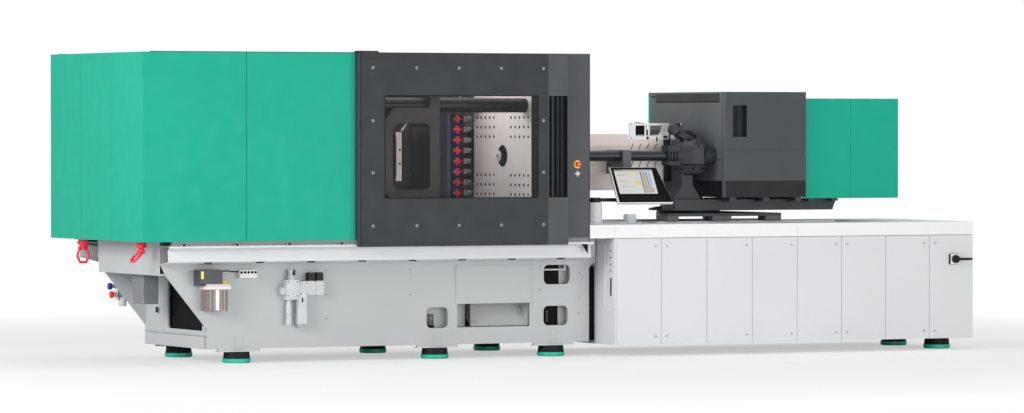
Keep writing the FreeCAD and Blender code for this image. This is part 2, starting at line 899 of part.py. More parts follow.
def gate():
    """Sliding gate: folded sheet with the window and grip cut-outs, guide and roller block."""
    y0 = -outer_y
    y1 = -gate_inner_y
    frame_z = gate_bottom_z + gate_guide_height
    top_z = enclosure_top_z + top_rail_height + fit_gap
    outer = block(gate_left_x, gate_right_x, y0, y1, frame_z, gate_top_z)
    inner = block(gate_left_x + sheet, gate_right_x - sheet, y0 + sheet, y1 + 1,
                  frame_z + sheet, gate_top_z - sheet)
    window = block(window_left_x, window_right_x, y0 - 1, y0 + sheet + 1, window_bottom_z,
                   window_top_z)
    window = rounded_edges(window, window_corner, Vector(0, 1, 0))
    grip = block(grip_left_x + grip_wall, grip_right_x - grip_wall, y0 - 1, y0 + sheet + 1,
                 window_bottom_z + grip_wall, window_top_z - grip_wall)
    groove = block(gate_body_right_x - seam_width / 2.0, gate_body_right_x + seam_width / 2.0,
                   y0 - 1, y0 + seam_depth, frame_z + sheet, gate_top_z - sheet)
    shell = outer.cut([inner, window, grip, groove])
    guide = block(gate_left_x, gate_right_x, y0 + sheet, y1, gate_bottom_z, frame_z)
    hook_x = gate_left_x - roller_block_overhang
    hook = block(hook_x, hook_x + roller_block_length, y0, -enclosure_half + upper_rail_depth,
                 top_z, top_z + roller_block_height)
    web = block(gate_left_x, hook_x + roller_block_length, y0, y0 + sheet, gate_top_z - sheet,
                top_z)
    return one([shell, guide, hook, web])


def gate_window():
    y0 = -outer_y + sheet
    return block(pane_left_x, pane_right_x, y0, y0 + pane_thickness,
                 window_bottom_z - pane_overlap, window_top_z + pane_overlap)


def gate_grip():
    """Recessed grip tray with upright ribs, seated behind its cut-out in the gate."""
    y0 = -outer_y + sheet
    y1 = -gate_inner_y
    tray = block(grip_left_x, grip_right_x, y0, y1, window_bottom_z, window_top_z)
    x0 = grip_left_x + grip_wall
    x1 = grip_right_x - grip_wall
    z0 = window_bottom_z + grip_wall
    z1 = window_top_z - grip_wall
    floor_y = y1 - grip_wall
    tray = tray.cut(block(x0, x1, y0 - 1, floor_y, z0, z1))
    step = (x1 - x0) / (grip_rib_count + 1)
    ribs = []
    for k in range(1, grip_rib_count + 1):
        left = x0 + step * k - grip_rib_width / 2.0
        ribs.append(block(left, left + grip_rib_width, floor_y - grip_rib_depth, floor_y, z0, z1))
    return one([tray] + ribs)


# ---------------------------------------------------------------- clamping unit
def bar_centres():
    return [(sy * bar_offset, axis_z + sz * bar_offset) for sy in (-1, 1) for sz in (-1, 1)]


def mould_holes(face_x, depth, columns, rows):
    """Blind threaded holes of the mould fixing pattern, drilled along X."""
    x0, x1 = sorted((face_x, face_x + depth))
    cuts = []
    for side in (-1, 1):
        for column in columns:
            for row in rows:
                cuts.append(rod_x(x0, x1, side * column * mould_hole_pitch,
                                  axis_z + row * mould_hole_pitch, mould_hole_radius))
    return cuts


def platen_block(x0, x1):
    body = block(x0, x1, -platen_half, platen_half, platen_bottom_z, platen_top_z)
    return rounded_edges(body, platen_corner, Vector(1, 0, 0))


def platen_legs(x0, x1, foot_z):
    legs = []
    for side in (-1, 1):
        y0, y1 = sorted((side * (leg_outer_y - leg_width), side * leg_outer_y))
        legs.append(block(x0, x1, y0, y1, foot_z, platen_bottom_z + leg_lap))
    return legs


def fixed_platen():
    """Fixed platen with its tie bar bores, centring recess, nozzle cone and mould holes."""
    body = one([platen_block(mould_face_x, fixed_back_x)]
               + platen_legs(mould_face_x, fixed_back_x, bed_top_z))
    cuts = [rod_x(mould_face_x - 1, fixed_back_x + 1, y, z, tie_bar_radius)
            for y, z in bar_centres()]
    ring_x = mould_face_x + centring_depth
    cuts.append(rod_x(mould_face_x - 1, ring_x, 0, axis_z, centring_radius))
    cuts.append(turned_x(0, axis_z, [(ring_x - 1, 0), (ring_x - 1, nozzle_bore_radius),
                                     (ring_x + nozzle_throat, nozzle_bore_radius),
                                     (fixed_back_x + 1, barrel_radius + nozzle_cone_play),
                                     (fixed_back_x + 1, 0)]))
    cuts += mould_holes(mould_face_x - 1, mould_hole_depth + 1, fixed_hole_columns,
                        fixed_hole_rows)
    return body.cut(cuts)


def moving_platen():
    """Cast moving platen: mould plate, ribbed box with side pockets, hub and slide shoes."""
    plate = platen_block(moving_face_x - moving_plate, moving_face_x)
    back = moving_back_x
    top = rib_half_height
    rib_right = moving_face_x - moving_plate
    profile = [(rib_right, axis_z + top), (back + rib_chamfer, axis_z + top),
               (back, axis_z + top - rib_chamfer), (back, axis_z - top + rib_chamfer),
               (back + rib_chamfer, axis_z - top), (rib_right, axis_z - top)]
    rib = prism_y(profile, -platen_half, platen_half)
    pocket_right_x = rib_right + pocket_into_plate
    pockets = []
    for side in (-1, 1):
        y0, y1 = sorted((side * (platen_half + 1), side * (platen_half - pocket_depth)))
        pocket = block(pocket_right_x - pocket_length, pocket_right_x, y0, y1,
                       axis_z - pocket_half_height, axis_z + pocket_half_height)
        pockets.append(rounded_edges(pocket, pocket_radius, Vector(0, 1, 0)))
    rib = rib.cut(pockets)
    hub = rod_x(back, rib_right, 0, axis_z, hub_radius)
    shoes = []
    for side in (-1, 1):
        y0, y1 = sorted((side * (leg_outer_y - shoe_width), side * leg_outer_y))
        shoes.append(block(moving_face_x - shoe_length, moving_face_x, y0, y1,
                           rail_top_z + fit_gap, platen_bottom_z + leg_lap))
    body = one([plate, rib, hub] + shoes)
    cuts = [rod_x(back - 1, moving_face_x + 1, y, z, tie_bar_radius + tie_bar_play)
            for y, z in bar_centres()]
    cuts.append(rod_x(back + ejector_bore_floor, moving_face_x + 1, 0, axis_z,
                      ejector_radius + ejector_play))
    cuts += mould_holes(moving_face_x + 1, -mould_hole_depth - 1, moving_hole_columns,
                        moving_hole_rows)
    return body.cut(cuts)


def ejector():
    """Ejector rod in the bore of the moving platen, with the waist of its coupling nose."""
    x1 = moving_face_x - ejector_setback
    waist_x = x1 - ejector_nose
    neck = ejector_radius - ejector_waist
    profile = [(x1 - ejector_length, 0), (x1 - ejector_length, ejector_radius),
               (waist_x, ejector_radius), (waist_x, neck), (waist_x + ejector_waist_length, neck),
               (waist_x + ejector_waist_length, ejector_radius),
               (x1 - ejector_edge, ejector_radius), (x1, ejector_radius - ejector_edge), (x1, 0)]
    return turned_x(0, axis_z, profile)


def clamp_ram():
    return turned_x(0, axis_z, [(ram_left_x, 0), (ram_left_x, ram_radius - ram_edge),
                                (ram_left_x + ram_edge, ram_radius), (moving_back_x, ram_radius),
                                (moving_back_x, 0)])


def cylinder_platen():
    """End platen with the clamping cylinder, on legs on the bed."""
    x1 = end_platen_x + end_platen_thickness
    plate = platen_block(end_platen_x, x1)
    legs = platen_legs(end_platen_x, x1, rail_top_z)
    edge_x = cylinder_left_x + cylinder_edge
    profile = [(cylinder_left_x, 0), (cylinder_left_x, cylinder_radius - cylinder_edge),
               (edge_x, cylinder_radius), (end_platen_x - cylinder_flare, cylinder_radius),
               (end_platen_x, cylinder_radius + cylinder_flare), (end_platen_x, 0)]
    body = one([plate, turned_x(0, axis_z, profile)] + legs)
    cuts = [rod_x(end_platen_x - 1, x1 + 1, y, z, tie_bar_radius) for y, z in bar_centres()]
    cuts.append(rod_x(cylinder_left_x + cylinder_floor, x1 + 1, 0, axis_z,
                      ram_radius + ram_play))
    return body.cut(cuts)


def tie_bars():
    """Four tie bars, each with a nut behind the end platen and behind the fixed platen."""
    shapes = []
    for y, z in bar_centres():
        bar = rod_x(end_platen_x - tie_nut_length - tie_bar_end,
                    fixed_back_x + tie_nut_length + tie_bar_end, y, z, tie_bar_radius)
        left = polygon_x(end_platen_x - tie_nut_length, end_platen_x, y, z, tie_nut_radius, 6)
        right = polygon_x(fixed_back_x, fixed_back_x + tie_nut_length, y, z, tie_nut_radius, 6)
        shapes.append(one([bar, left, right]))
    return group(shapes)


def water_manifold():
    """Cooling water distributor beside the fixed platen, with its hand valves and ports."""
    x1 = mould_face_x - manifold_gap_x
    x0 = x1 - manifold_width
    y0 = platen_half + manifold_gap_y
    y1 = y0 + manifold_depth
    z0 = axis_z - manifold_drop
    stay_x = x1 + manifold_stay_reach
    stay_z0 = axis_z - manifold_stay_half
    stay_z1 = axis_z + manifold_stay_half
    body = block(x0, x1, y0, y1, z0, z0 + manifold_valve_count * manifold_pitch)
    bracket = block(x1 - manifold_lap, stay_x, y1, y1 + bracket_plate, stay_z0, stay_z1)
    stay = block(stay_x - bracket_plate, stay_x, platen_half, y1 + bracket_plate, stay_z0, stay_z1)
    pieces = [body, bracket, stay]
    valve_x = x0 + manifold_valve_x
    for k in range(manifold_valve_count):
        z = z0 + manifold_pitch * (k + 0.5)
        head_y = y0 - manifold_stem
        pieces.append(rod_y(valve_x, head_y, y0 + 1.0, z, manifold_stem_radius))
        pieces.append(polygon_y(valve_x, head_y - manifold_knob_depth, head_y, z,
                                manifold_knob_radius, 8))
        pieces.append(rod_x(x1 - 1.0, x1 + manifold_port, y0 + manifold_port_y, z,
                            manifold_port_radius))
    return one(pieces)


# ---------------------------------------------------------------- injection side base
def injection_deck():
    """Deck tray of the injection side with the slide rails and the post of the panel arm."""
    outer = block(deck_left_x, deck_right_x, -enclosure_half, deck_back_y, deck_bottom_z,
                  deck_top_z)
    inner = block(deck_left_x + heavy_sheet, deck_right_x - heavy_sheet,
                  -enclosure_half + heavy_sheet, deck_back_y - heavy_sheet, deck_bottom_z - 1,
                  deck_top_z - heavy_sheet)
    half = seam_width / 2.0
    grooves = [block(x - half, x + half, -enclosure_half - 1, -enclosure_half + seam_depth,
                     deck_bottom_z - 1, deck_top_z + 1) for x in deck_seams_x]
    tray = outer.cut([inner] + grooves)
    rails = []
    for side in (-1, 1):
        y0, y1 = sorted((side * (slide_rail_y - slide_rail_width), side * slide_rail_y))
        rails.append(block(carriage_left_x - slide_rail_lead, swivel_right_x, y0, y1, deck_top_z,
                           slide_rail_top_z))
    post = rod_z(post_x, post_y, deck_top_z, post_top_z, post_radius)
    stop = rounded_block_y(deck_stop_x, deck_stop_x + deck_stop_length, deck_stop_y,
                           deck_stop_y + deck_stop_width, deck_top_z, deck_top_z + deck_stop_height,
                           deck_stop_corner)
    return one([tray, post, stop] + rails)


def cabinet_frame():
    """Walls, floor and door posts of the cabinet under the deck, and the links to the base."""
    x0 = cabinet_left_x
    x1 = cabinet_right_x
    front = -enclosure_half + door_depth + fit_gap
    back = deck_back_y
    z0 = cabinet_bottom_z
    z1 = deck_bottom_z
    wall = heavy_sheet
    left = block(x0, x0 + wall, -enclosure_half, back, z0, z1)
    right = block(x1 - wall, x1, front, back, z0, z1)
    rear = block(x0 + wall, x1 - wall, back - wall, back, z0, z1)
    floor_plate = block(x0 + wall, x1 - wall, front, back - wall, z0, z0 + wall)
    shapes = [left, right, rear, floor_plate]
    half = door_post_width / 2.0
    for k in range(1, door_count):
        x = x0 + door_pitch * k
        shapes.append(block(x - half, x + half, front, front + door_post_width, z0 + wall, z1))
    plate_y = back - wall - mounting_plate_gap
    shapes.append(block(x0 + door_pitch * door_count / 2.0 + mounting_plate_inset,
                        x1 - wall - mounting_plate_inset, plate_y, plate_y + sheet, z0 + wall, z1))
    link_half = base_inner - side_plate
    for z in link_beam_z:
        shapes.append(block(base_right_x, x0, -link_half, link_half, z, z + link_beam_height))
    return group(shapes)


def cabinet_door(number):
    """Sheet door with folded edges and its two quarter-turn locks."""
    left = cabinet_left_x + heavy_sheet * (number == 0) + door_pitch * number + panel_gap / 2.0
    right = cabinet_left_x + door_pitch * (number + 1) - panel_gap / 2.0
    y0 = -enclosure_half
    y1 = y0 + door_depth
    z0 = cabinet_bottom_z
    z1 = deck_bottom_z - panel_gap
    outer = block(left, right, y0, y1, z0, z1)
    inner = block(left + sheet, right - sheet, y0 + sheet, y1 + 1, z0 + sheet, z1 - sheet)
    hinge = door_hinge_side[number]
    lock_x = (left if hinge > 0 else right) + hinge * door_lock_edge
    pieces = [outer.cut(inner)]
    for z in (z0 + door_lock_end, z1 - door_lock_end):
        pieces.append(rod_y(lock_x, y0 - door_lock_stand, y1 - door_lock_setback, z,
                            door_lock_radius))
    return one(pieces)


def main_switch_plate():
    y1 = -enclosure_half
    y0 = y1 - switch_plate_depth
    half = switch_plate / 2.0
    plate = rounded_block_y(switch_x - half, switch_x + half, y0, y1, switch_z - half,
                            switch_z + half, switch_plate_corner)
    return plate.cut(rod_y(switch_x, y0 - 1, y1 + 1, switch_z, switch_stem_radius + fit_gap))


def main_switch_lever():
    """Rotary main switch: stem, round hub and a lever that points to the right."""
    back = -enclosure_half - switch_plate_depth - fit_gap
    face = back - switch_hub_depth
    stem = rod_y(switch_x, back, -enclosure_half - fit_gap, switch_z, switch_stem_radius)
    hub = rod_y(switch_x, face, back, switch_z, switch_hub_radius)
    half = switch_lever_height / 2.0
    end_x = switch_x + switch_lever_length
    lever = prism_y([(switch_x, switch_z - half), (switch_x, switch_z + half),
                     (end_x, switch_z + half - switch_lever_taper),
                     (end_x, switch_z - half + switch_lever_taper)],
                    face - switch_lever_stand, face + switch_lever_depth)
    return one([stem, hub, lever])


def pump_motor():
    """Hydraulic pump and its motor on a rail, on the cabinet floor."""
    floor_z = cabinet_bottom_z + heavy_sheet
    z = floor_z + pump_axis_height
    neck = pump_motor_radius - pump_motor_edge
    flange_x = pump_motor_x + pump_motor_length
    pump_x = flange_x + pump_flange_length
    motor = turned_x(pump_y, z, [(pump_motor_x, 0), (pump_motor_x, neck),
                                 (pump_motor_x + pump_motor_edge, pump_motor_radius),
                                 (flange_x, pump_motor_radius), (flange_x, 0)])
    flange = rod_x(flange_x, pump_x, pump_y, z, pump_half)
    pump = rounded_edges(block(pump_x, pump_x + pump_length, pump_y - pump_half,
                               pump_y + pump_half, z - pump_half, z + pump_half),
                         pump_corner, Vector(1, 0, 0))
    foot = block(pump_motor_x + pump_rail_inset, pump_x + pump_length - pump_rail_inset,
                 pump_y - pump_half, pump_y + pump_half, floor_z, z - pump_half + pump_corner)
    return one([motor, flange, pump, foot])


# ---------------------------------------------------------------- injection unit
def traverse_rods():
    shapes = []
    for side in (-1, 1):
        y = side * traverse_y
        rod = rod_x(fixed_back_x, traverse_rod_right_x, y, axis_z, traverse_radius)
        flange = rod_x(fixed_back_x, fixed_back_x + traverse_flange, y, axis_z,
                       traverse_flange_radius)
        shapes.append(one([rod, flange]))
    return group(shapes)


def barrel_guard():
    """Fixed part of the barrel guard, with the brackets that steady the traverse rods."""
    x0 = fixed_back_x
    guard = tube_x(x0, guard_split_x, guard_half, guard_bottom_z, guard_top_z, sheet)
    pieces = [guard]
    lug_z0 = axis_z - steady_drop
    lug_z1 = axis_z + steady_rise
    for side in (-1, 1):
        y0, y1 = sorted((side * guard_half, side * (traverse_y + steady_reach)))
        lug = block(steady_x, steady_x + steady_length, y0, y1, lug_z0, lug_z1)
        bore = rod_x(steady_x - 1, steady_x + steady_length + 1, side * traverse_y, axis_z,
                     traverse_radius + traverse_play)
        pieces.append(lug.cut(bore))
    return one(pieces)


def sliding_guard():
    """Guard section that travels with the unit, slotted at the sides, with its hatch frame."""
    gap = sheet + guard_play
    x0 = guard_split_x - guard_overlap
    x1 = guard_back_x
    half = guard_half - gap
    z0 = guard_bottom_z + gap
    z1 = guard_top_z - gap
    inner = tube_x(x0, x1, half, z0, z1, sheet)
    cuts = []
    rise = guard_slot_length / 2.0
    for row_z in guard_slot_rows_z:
        for k in range(guard_slot_count):
            x = guard_slot_x + guard_slot_pitch * k
            outline = [(x, row_z - rise), (x + guard_slot_width, row_z - rise),
                       (x + guard_slot_width + guard_slot_lean, row_z + rise),
                       (x + guard_slot_lean, row_z + rise)]
            for side in (-1, 1):
                y0, y1 = sorted((side * (half - sheet - 1), side * (half + 1)))
                cuts.append(prism_y(outline, y0, y1))
    body = inner.cut(cuts)
    y0 = -half
    y1 = y0 + sheet
    hatch = block(hatch_left_x, hatch_right_x, y0, y1, z1 - sheet, z1 + hatch_height)
    low, high = hatch_windows_z
    windows = [block(left, right, y0 - 1, y1 + 1, low, high) for left, right in hatch_windows_x]
    outline = [(hatch_opening_left_x, low), (hatch_opening_left_x, high)] + hatch_curve
    windows.append(prism_y(outline, y0 - 1, y1 + 1))
    back = block(x1, x1 + guard_back_plate, -half, half, z0, z1)
    back = back.cut(rod_x(x1 - 1, x1 + guard_back_plate + 1, 0, axis_z,
                          barrel_radius + guard_barrel_play))
    return one([body, hatch, back]).cut(windows)


def carriage():
    """Carriage frame on its shoes, turntable with its flange, and the long swivel base."""
    frame_z0, frame_z1 = carriage_frame_z
    half = carriage_half
    inner_y = half - shoe_block_width
    pieces = [prism_z([(carriage_left_x, -half), (carriage_right_x, -half),
                       (carriage_right_x, half), (carriage_rear_left_x, half),
                       (carriage_left_x, -inner_y)], frame_z0, frame_z1)]
    foot_z = slide_rail_top_z + fit_gap
    pieces += [block(x0, x1, -half, -inner_y, foot_z, frame_z1) for x0, x1 in front_shoes_x]
    pieces += [block(x0, x1, inner_y, half, foot_z, frame_z1) for x0, x1 in rear_shoes_x]
    flange_z0, flange_z1 = turntable_flange_z
    profile = [(0, frame_z0), (turntable_radius, frame_z0), (turntable_radius, flange_z0),
               (turntable_flange_radius, flange_z0), (turntable_flange_radius, flange_z1),
               (turntable_neck_radius, turntable_neck_z), (0, turntable_neck_z)]
    pieces.append(turned_z(turntable_x, 0, profile))
    swivel = prism_y([(swivel_left_x, swivel_top_z), (swivel_right_x, swivel_top_z),
                      (swivel_right_x - swivel_taper, swivel_bottom_z),
                      (swivel_left_x, swivel_bottom_z)], -swivel_half, swivel_half)
    corner = prism_z([(swivel_left_x - 1, swivel_nose_y), (swivel_rear_x, swivel_half + 1),
                      (swivel_left_x - 1, swivel_half + 1)], swivel_bottom_z - 1, swivel_plate_z)
    pieces.append(swivel.cut(corner))
    for x in outrigger_x:
        over_drive = x > unit_cover_right_x
        half = (drive_cover_half if over_drive else unit_cover_half) - sheet
        top = drive_cover_bottom_z if over_drive else unit_cover_bottom_z
        for side in (-1, 1):
            y0, y1 = sorted((side * (swivel_half - outrigger_lap), side * half))
            pieces.append(block(x, x + outrigger_width, y0, y1, swivel_top_z - outrigger_depth,
                                top))
    return one(pieces)


def head_outline(y, z, share):
    """Eight-sided outline of a traverse cylinder head, in a level plane."""
    long_x = head_half_length * share
    wide_y = head_half_width * share
    short_x = long_x - head_corner * share
    narrow_y = wide_y - head_corner * share
    corners = [(-long_x, -narrow_y), (-short_x, -wide_y), (short_x, -wide_y), (long_x, -narrow_y),
               (long_x, narrow_y), (short_x, wide_y), (-short_x, wide_y), (-long_x, narrow_y)]
    points = [Vector(head_x + dx, y + dy, z) for dx, dy in corners]
    return Part.makePolygon(points + [points[0]])


def injection_housing():
    """Front yoke of the unit: two upright eight-sided traverse cylinder heads on flared columns,
    the barrel seat between them, and the cylinders that run back under the cover."""
    pieces = []
    foot_z = swivel_top_z
    flare_z = foot_z + column_flare_height
    column_top_z = axis_z - traverse_radius
    low = column_half_width + column_flare
    head_left_x = head_x - head_half_length
    for side in (-1, 1):
        y = side * traverse_y
        rings = [head_outline(y, z, share) for z, share in head_steps]
        pieces += [Part.makeLoft([below, above], True, True)
                   for below, above in zip(rings, rings[1:])]
        pieces.append(rod_x(clamp_ring_left_x, head_x, y, axis_z, clamp_ring_radius))
        for z0, z1 in (clamp_lower_z, clamp_upper_z):
            pieces.append(block(clamp_ring_left_x, head_left_x + 1.0, y - clamp_half_width,
                                y + clamp_half_width, z0, z1))
        pieces.append(rod_x(head_x, traverse_barrel_right_x, y, axis_z, traverse_barrel_radius))
        pieces.append(prism_y([(column_x - low, foot_z), (column_x + low, foot_z),
                               (column_x + column_half_width, flare_z),
                               (column_x + column_half_width, column_top_z),
                               (column_x - column_half_width, column_top_z),
                               (column_x - column_half_width, flare_z)],
                              side * column_y - column_half_depth,
                              side * column_y + column_half_depth))
        arm_y0, arm_y1 = sorted((y, side * seat_half / 2.0))
        pieces.append(block(housing_left_x + arm_inset, housing_right_x - arm_inset, arm_y0,
                            arm_y1, axis_z - arm_half_height, axis_z + arm_half_height))
    seat = block(seat_left_x, seat_right_x, -seat_half, seat_half, axis_z - seat_half,
                 axis_z + seat_half)
    pieces.append(rounded_edges(seat, seat_corner, Vector(1, 0, 0)))
    pieces.append(block(seat_right_x, barrel_right_x, -throat_half, throat_half,
                        axis_z - throat_half, axis_z + throat_half))
    body = one(pieces)
    cuts = [rod_x(seat_left_x - 1, barrel_right_x + 1, 0, axis_z, barrel_radius)]
    for side in (-1, 1):
        cuts.append(rod_x(clamp_ring_left_x - 1, traverse_barrel_right_x - traverse_floor,
                          side * traverse_y, axis_z, traverse_radius + traverse_play))
    return body.cut(cuts)


def barrel():
    """Plasticising barrel with heater bands and the nozzle that reaches through the platen."""
    tip_x = mould_face_x - nozzle_reach
    shoulder_x = fixed_back_x + nozzle_shoulder
    profile = [(tip_x, nozzle_bore), (tip_x, nozzle_tip_radius),
               (tip_x + nozzle_tip_length, nozzle_radius),
               (shoulder_x - nozzle_shoulder, nozzle_radius), (shoulder_x, barrel_radius),
               (barrel_right_x, barrel_radius), (barrel_right_x, barrel_bore),
               (shoulder_x + nozzle_shoulder, barrel_bore), (mould_face_x, nozzle_bore)]
    inner = barrel_radius - 0.5
    outer = barrel_radius + heater_thickness
    bands = [turned_x(0, axis_z, [(x, inner), (x, outer), (x + heater_length, outer),
                                  (x + heater_length, inner)]) for x in heater_bands_x]
    return one([turned_x(0, axis_z, profile)] + bands)


def screw():
    """Plasticising screw with its conical tip, running in the barrel's bore."""
    radius = barrel_bore - screw_play
    tip_x = fixed_back_x + screw_tip_setback
    return turned_x(0, axis_z, [(tip_x, 0), (tip_x + screw_tip_length, radius),
                                (motor_left_x, radius), (motor_left_x, 0)])


def plasticising_motor():
    """Drive of the screw, which travels back with it in the cover."""
    x0 = motor_left_x
    x1 = x0 + motor_length
    collar = motor_radius - motor_collar_step
    bearing = turned_x(0, axis_z, [(x0 - motor_collar, barrel_bore + motor_collar_play),
                                   (x0 - motor_collar, collar), (x0 + 0.5, collar),
                                   (x0 + 0.5, barrel_bore + motor_collar_play)])
    body = turned_x(0, axis_z, [(x0 + 0.4, 0), (x0 + 0.4, motor_radius - motor_edge),
                                (x0 + motor_edge, motor_radius), (x1 - motor_edge, motor_radius),
                                (x1, motor_radius - motor_edge), (x1, 0)])
    yoke_x = x0 + motor_yoke_x
    yoke = block(yoke_x, yoke_x + motor_yoke_length, -motor_yoke_half, motor_yoke_half,
                 axis_z - motor_yoke_height / 2.0, axis_z + motor_yoke_height / 2.0)
    shoes = []
    for side in (-1, 1):
        y0, y1 = sorted((side * motor_yoke_half, side * (motor_yoke_half - motor_shoe_width)))
        shoes.append(block(yoke_x, yoke_x + motor_yoke_length, y0, y1, swivel_top_z + fit_gap,
                           axis_z))
    return one([bearing, body, yoke] + shoes)


def unit_cover():
    """Front cover of the unit, open below, with grip recesses, seams and a set-back band."""
    x0 = unit_cover_left_x
    x1 = unit_cover_right_x
    half = unit_cover_half
    z0 = unit_cover_bottom_z
    z1 = unit_cover_top_z
    shell = block(x0, x1, -half, half, z0, z1)
    shell = shell.cut(block(x0 + sheet, x1 + 1, -half + sheet, half - sheet, z0 - 1, z1 - sheet))
    pieces = [shell]
    cuts = []
    for side in (-1, 1):
        face = side * half
        inside = side * (half - grip_recess_depth)
        y0, y1 = sorted((face, inside))
        pieces.append(block(grip_recess_left_x - sheet, grip_recess_right_x + sheet, y0, y1,
                            grip_recess_bottom_z - sheet, grip_recess_top_z + sheet))
        y0, y1 = sorted((face + side, inside + side * sheet))
        cuts.append(block(grip_recess_left_x, grip_recess_right_x, y0, y1, grip_recess_bottom_z,
                          grip_recess_top_z))
        y0, y1 = sorted((face + side, face - side * seam_depth))
        cuts.append(block(x0 + unit_seam_inset, x1 - unit_seam_inset, y0, y1,
                          unit_seam_z - seam_width / 2.0, unit_seam_z + seam_width / 2.0))
        cuts.append(block(x0 - 1, x1 + 1, y0, y1, z0 - 1, unit_band_z))
        cuts.append(rod_x(x0 - 1, x0 + sheet + 1, side * traverse_y, axis_z,
                          traverse_barrel_radius + cover_play))
    cuts.append(block(x0 - 1, x0 + seam_depth, end_flap_y[0], end_flap_y[1], z1 - end_flap_drop[0],
                      z1 - end_flap_drop[1]))
    throat = throat_half + cover_play
    cuts.append(block(x0 - 1, x0 + sheet + 1, -throat, throat, axis_z - throat, axis_z + throat))
    rib = block(x0 + sheet, x1, -half + sheet, -half + cover_flange, z0, z0 + sheet)
    return one(pieces).cut(cuts).fuse([rib, mirrored(rib)]).removeSplitter()


def drive_cover():
    """Rear cover of the unit over its drive, open below and towards the front cover."""
    x0 = unit_cover_right_x + fit_gap
    x1 = drive_cover_right_x
    half = drive_cover_half
    z0 = drive_cover_bottom_z
    z1 = drive_cover_top_z
    shell = block(x0, x1, -half, half, z0, z1)
    shell = shell.cut(block(x0 - 1, x1 - sheet, -half + sheet, half - sheet, z0 - 1, z1 - sheet))
    grooves = []
    flanges = []
    for side in (-1, 1):
        y0, y1 = sorted((side * (half + 1), side * (half - seam_depth)))
        grooves.append(block(drive_seam_x - seam_width / 2.0, drive_seam_x + seam_width / 2.0,
                             y0, y1, z0 - 1, z1 + 1))
        y0, y1 = sorted((side * (half - sheet), side * (half - cover_flange)))
        flanges.append(block(x0, x1 - sheet, y0, y1, z0, z0 + sheet))
    return one([shell.cut(grooves)] + flanges)


# ---------------------------------------------------------------- operator's controls
def estop_ring():
    y1 = -enclosure_half
    y0 = y1 - estop_ring_depth
    ring = Part.makeCone(estop_ring_radius, estop_ring_radius - estop_ring_bevel,
                         estop_ring_depth, Vector(estop_x, y1, estop_z), Vector(0, -1, 0))
    return ring.cut(rod_y(estop_x, y0 - 1, y1 + 1, estop_z, estop_stem_radius + fit_gap))


def estop_button():
    """Mushroom button on its stem, standing clear of the ring by its travel."""
    y1 = -enclosure_half - estop_ring_depth - estop_travel - fit_gap
    y0 = y1 - estop_button_depth
    r = estop_button_radius
    stem_y = -enclosure_half + estop_stem_length
    third = estop_button_depth / 3.0
    points = [Vector(estop_x, y0, estop_z), Vector(estop_x + r / 2.0, y0, estop_z)]
    points.append(Vector(estop_x + r, y0 + third, estop_z))
    dome = Part.Arc(points[1], Vector(estop_x + r * 0.85, y0 + third * 0.3, estop_z), points[2])
    rest = [points[2], Vector(estop_x + r, y0 + third * 2.0, estop_z),
            Vector(estop_x + estop_stem_radius, y1, estop_z),
            Vector(estop_x + estop_stem_radius, stem_y, estop_z), Vector(estop_x, stem_y, estop_z),
            points[0], points[1]]
    wire = Part.Wire([dome.toShape()] + Part.makePolygon(rest).Edges)
    return Part.Face(wire).revolve(Vector(estop_x, 0, estop_z), Vector(0, 1, 0), 360)


def key_switch():
    """Round key switch with its slotted face."""
    y1 = -enclosure_half - fit_gap
    y0 = y1 - key_depth
    stem = rod_y(estop_x, y1, y1 + key_stem_length, key_z, key_stem_radius)
    head = rod_y(estop_x, y0, y1, key_z, key_radius)
    slot = block(estop_x - key_slot_width / 2.0, estop_x + key_slot_width / 2.0, y0 - 1,
                 y0 + key_slot_depth, key_z - key_slot_half, key_z + key_slot_half)
    return one([stem, head]).cut(slot)


def panel_arm():
    """Swing arm on the post: a hub, a bar to the right and the pivot pin of the panel."""
    z0 = post_top_z + fit_gap
    z1 = z0 + arm_height
    half = arm_width / 2.0
    hub = rod_z(post_x, post_y, z0, z1, arm_hub_radius)
    riser_x = panel_left_x + riser_inset
    pin_x = riser_x + riser_width
    bar = block(post_x, pin_x, post_y - half, post_y + half, z0 + arm_step, z1 - arm_step)
    riser = block(riser_x, pin_x, post_y - half, post_y + half, z0 + arm_step, tilt_z)
    cheek = rod_x(riser_x, pin_x, post_y, tilt_z, cheek_radius)
    pin = rod_x(pin_x, pin_x + tilt_pin_length, post_y, tilt_z, tilt_pin_radius)
    return one([hub, bar, riser, cheek, pin])


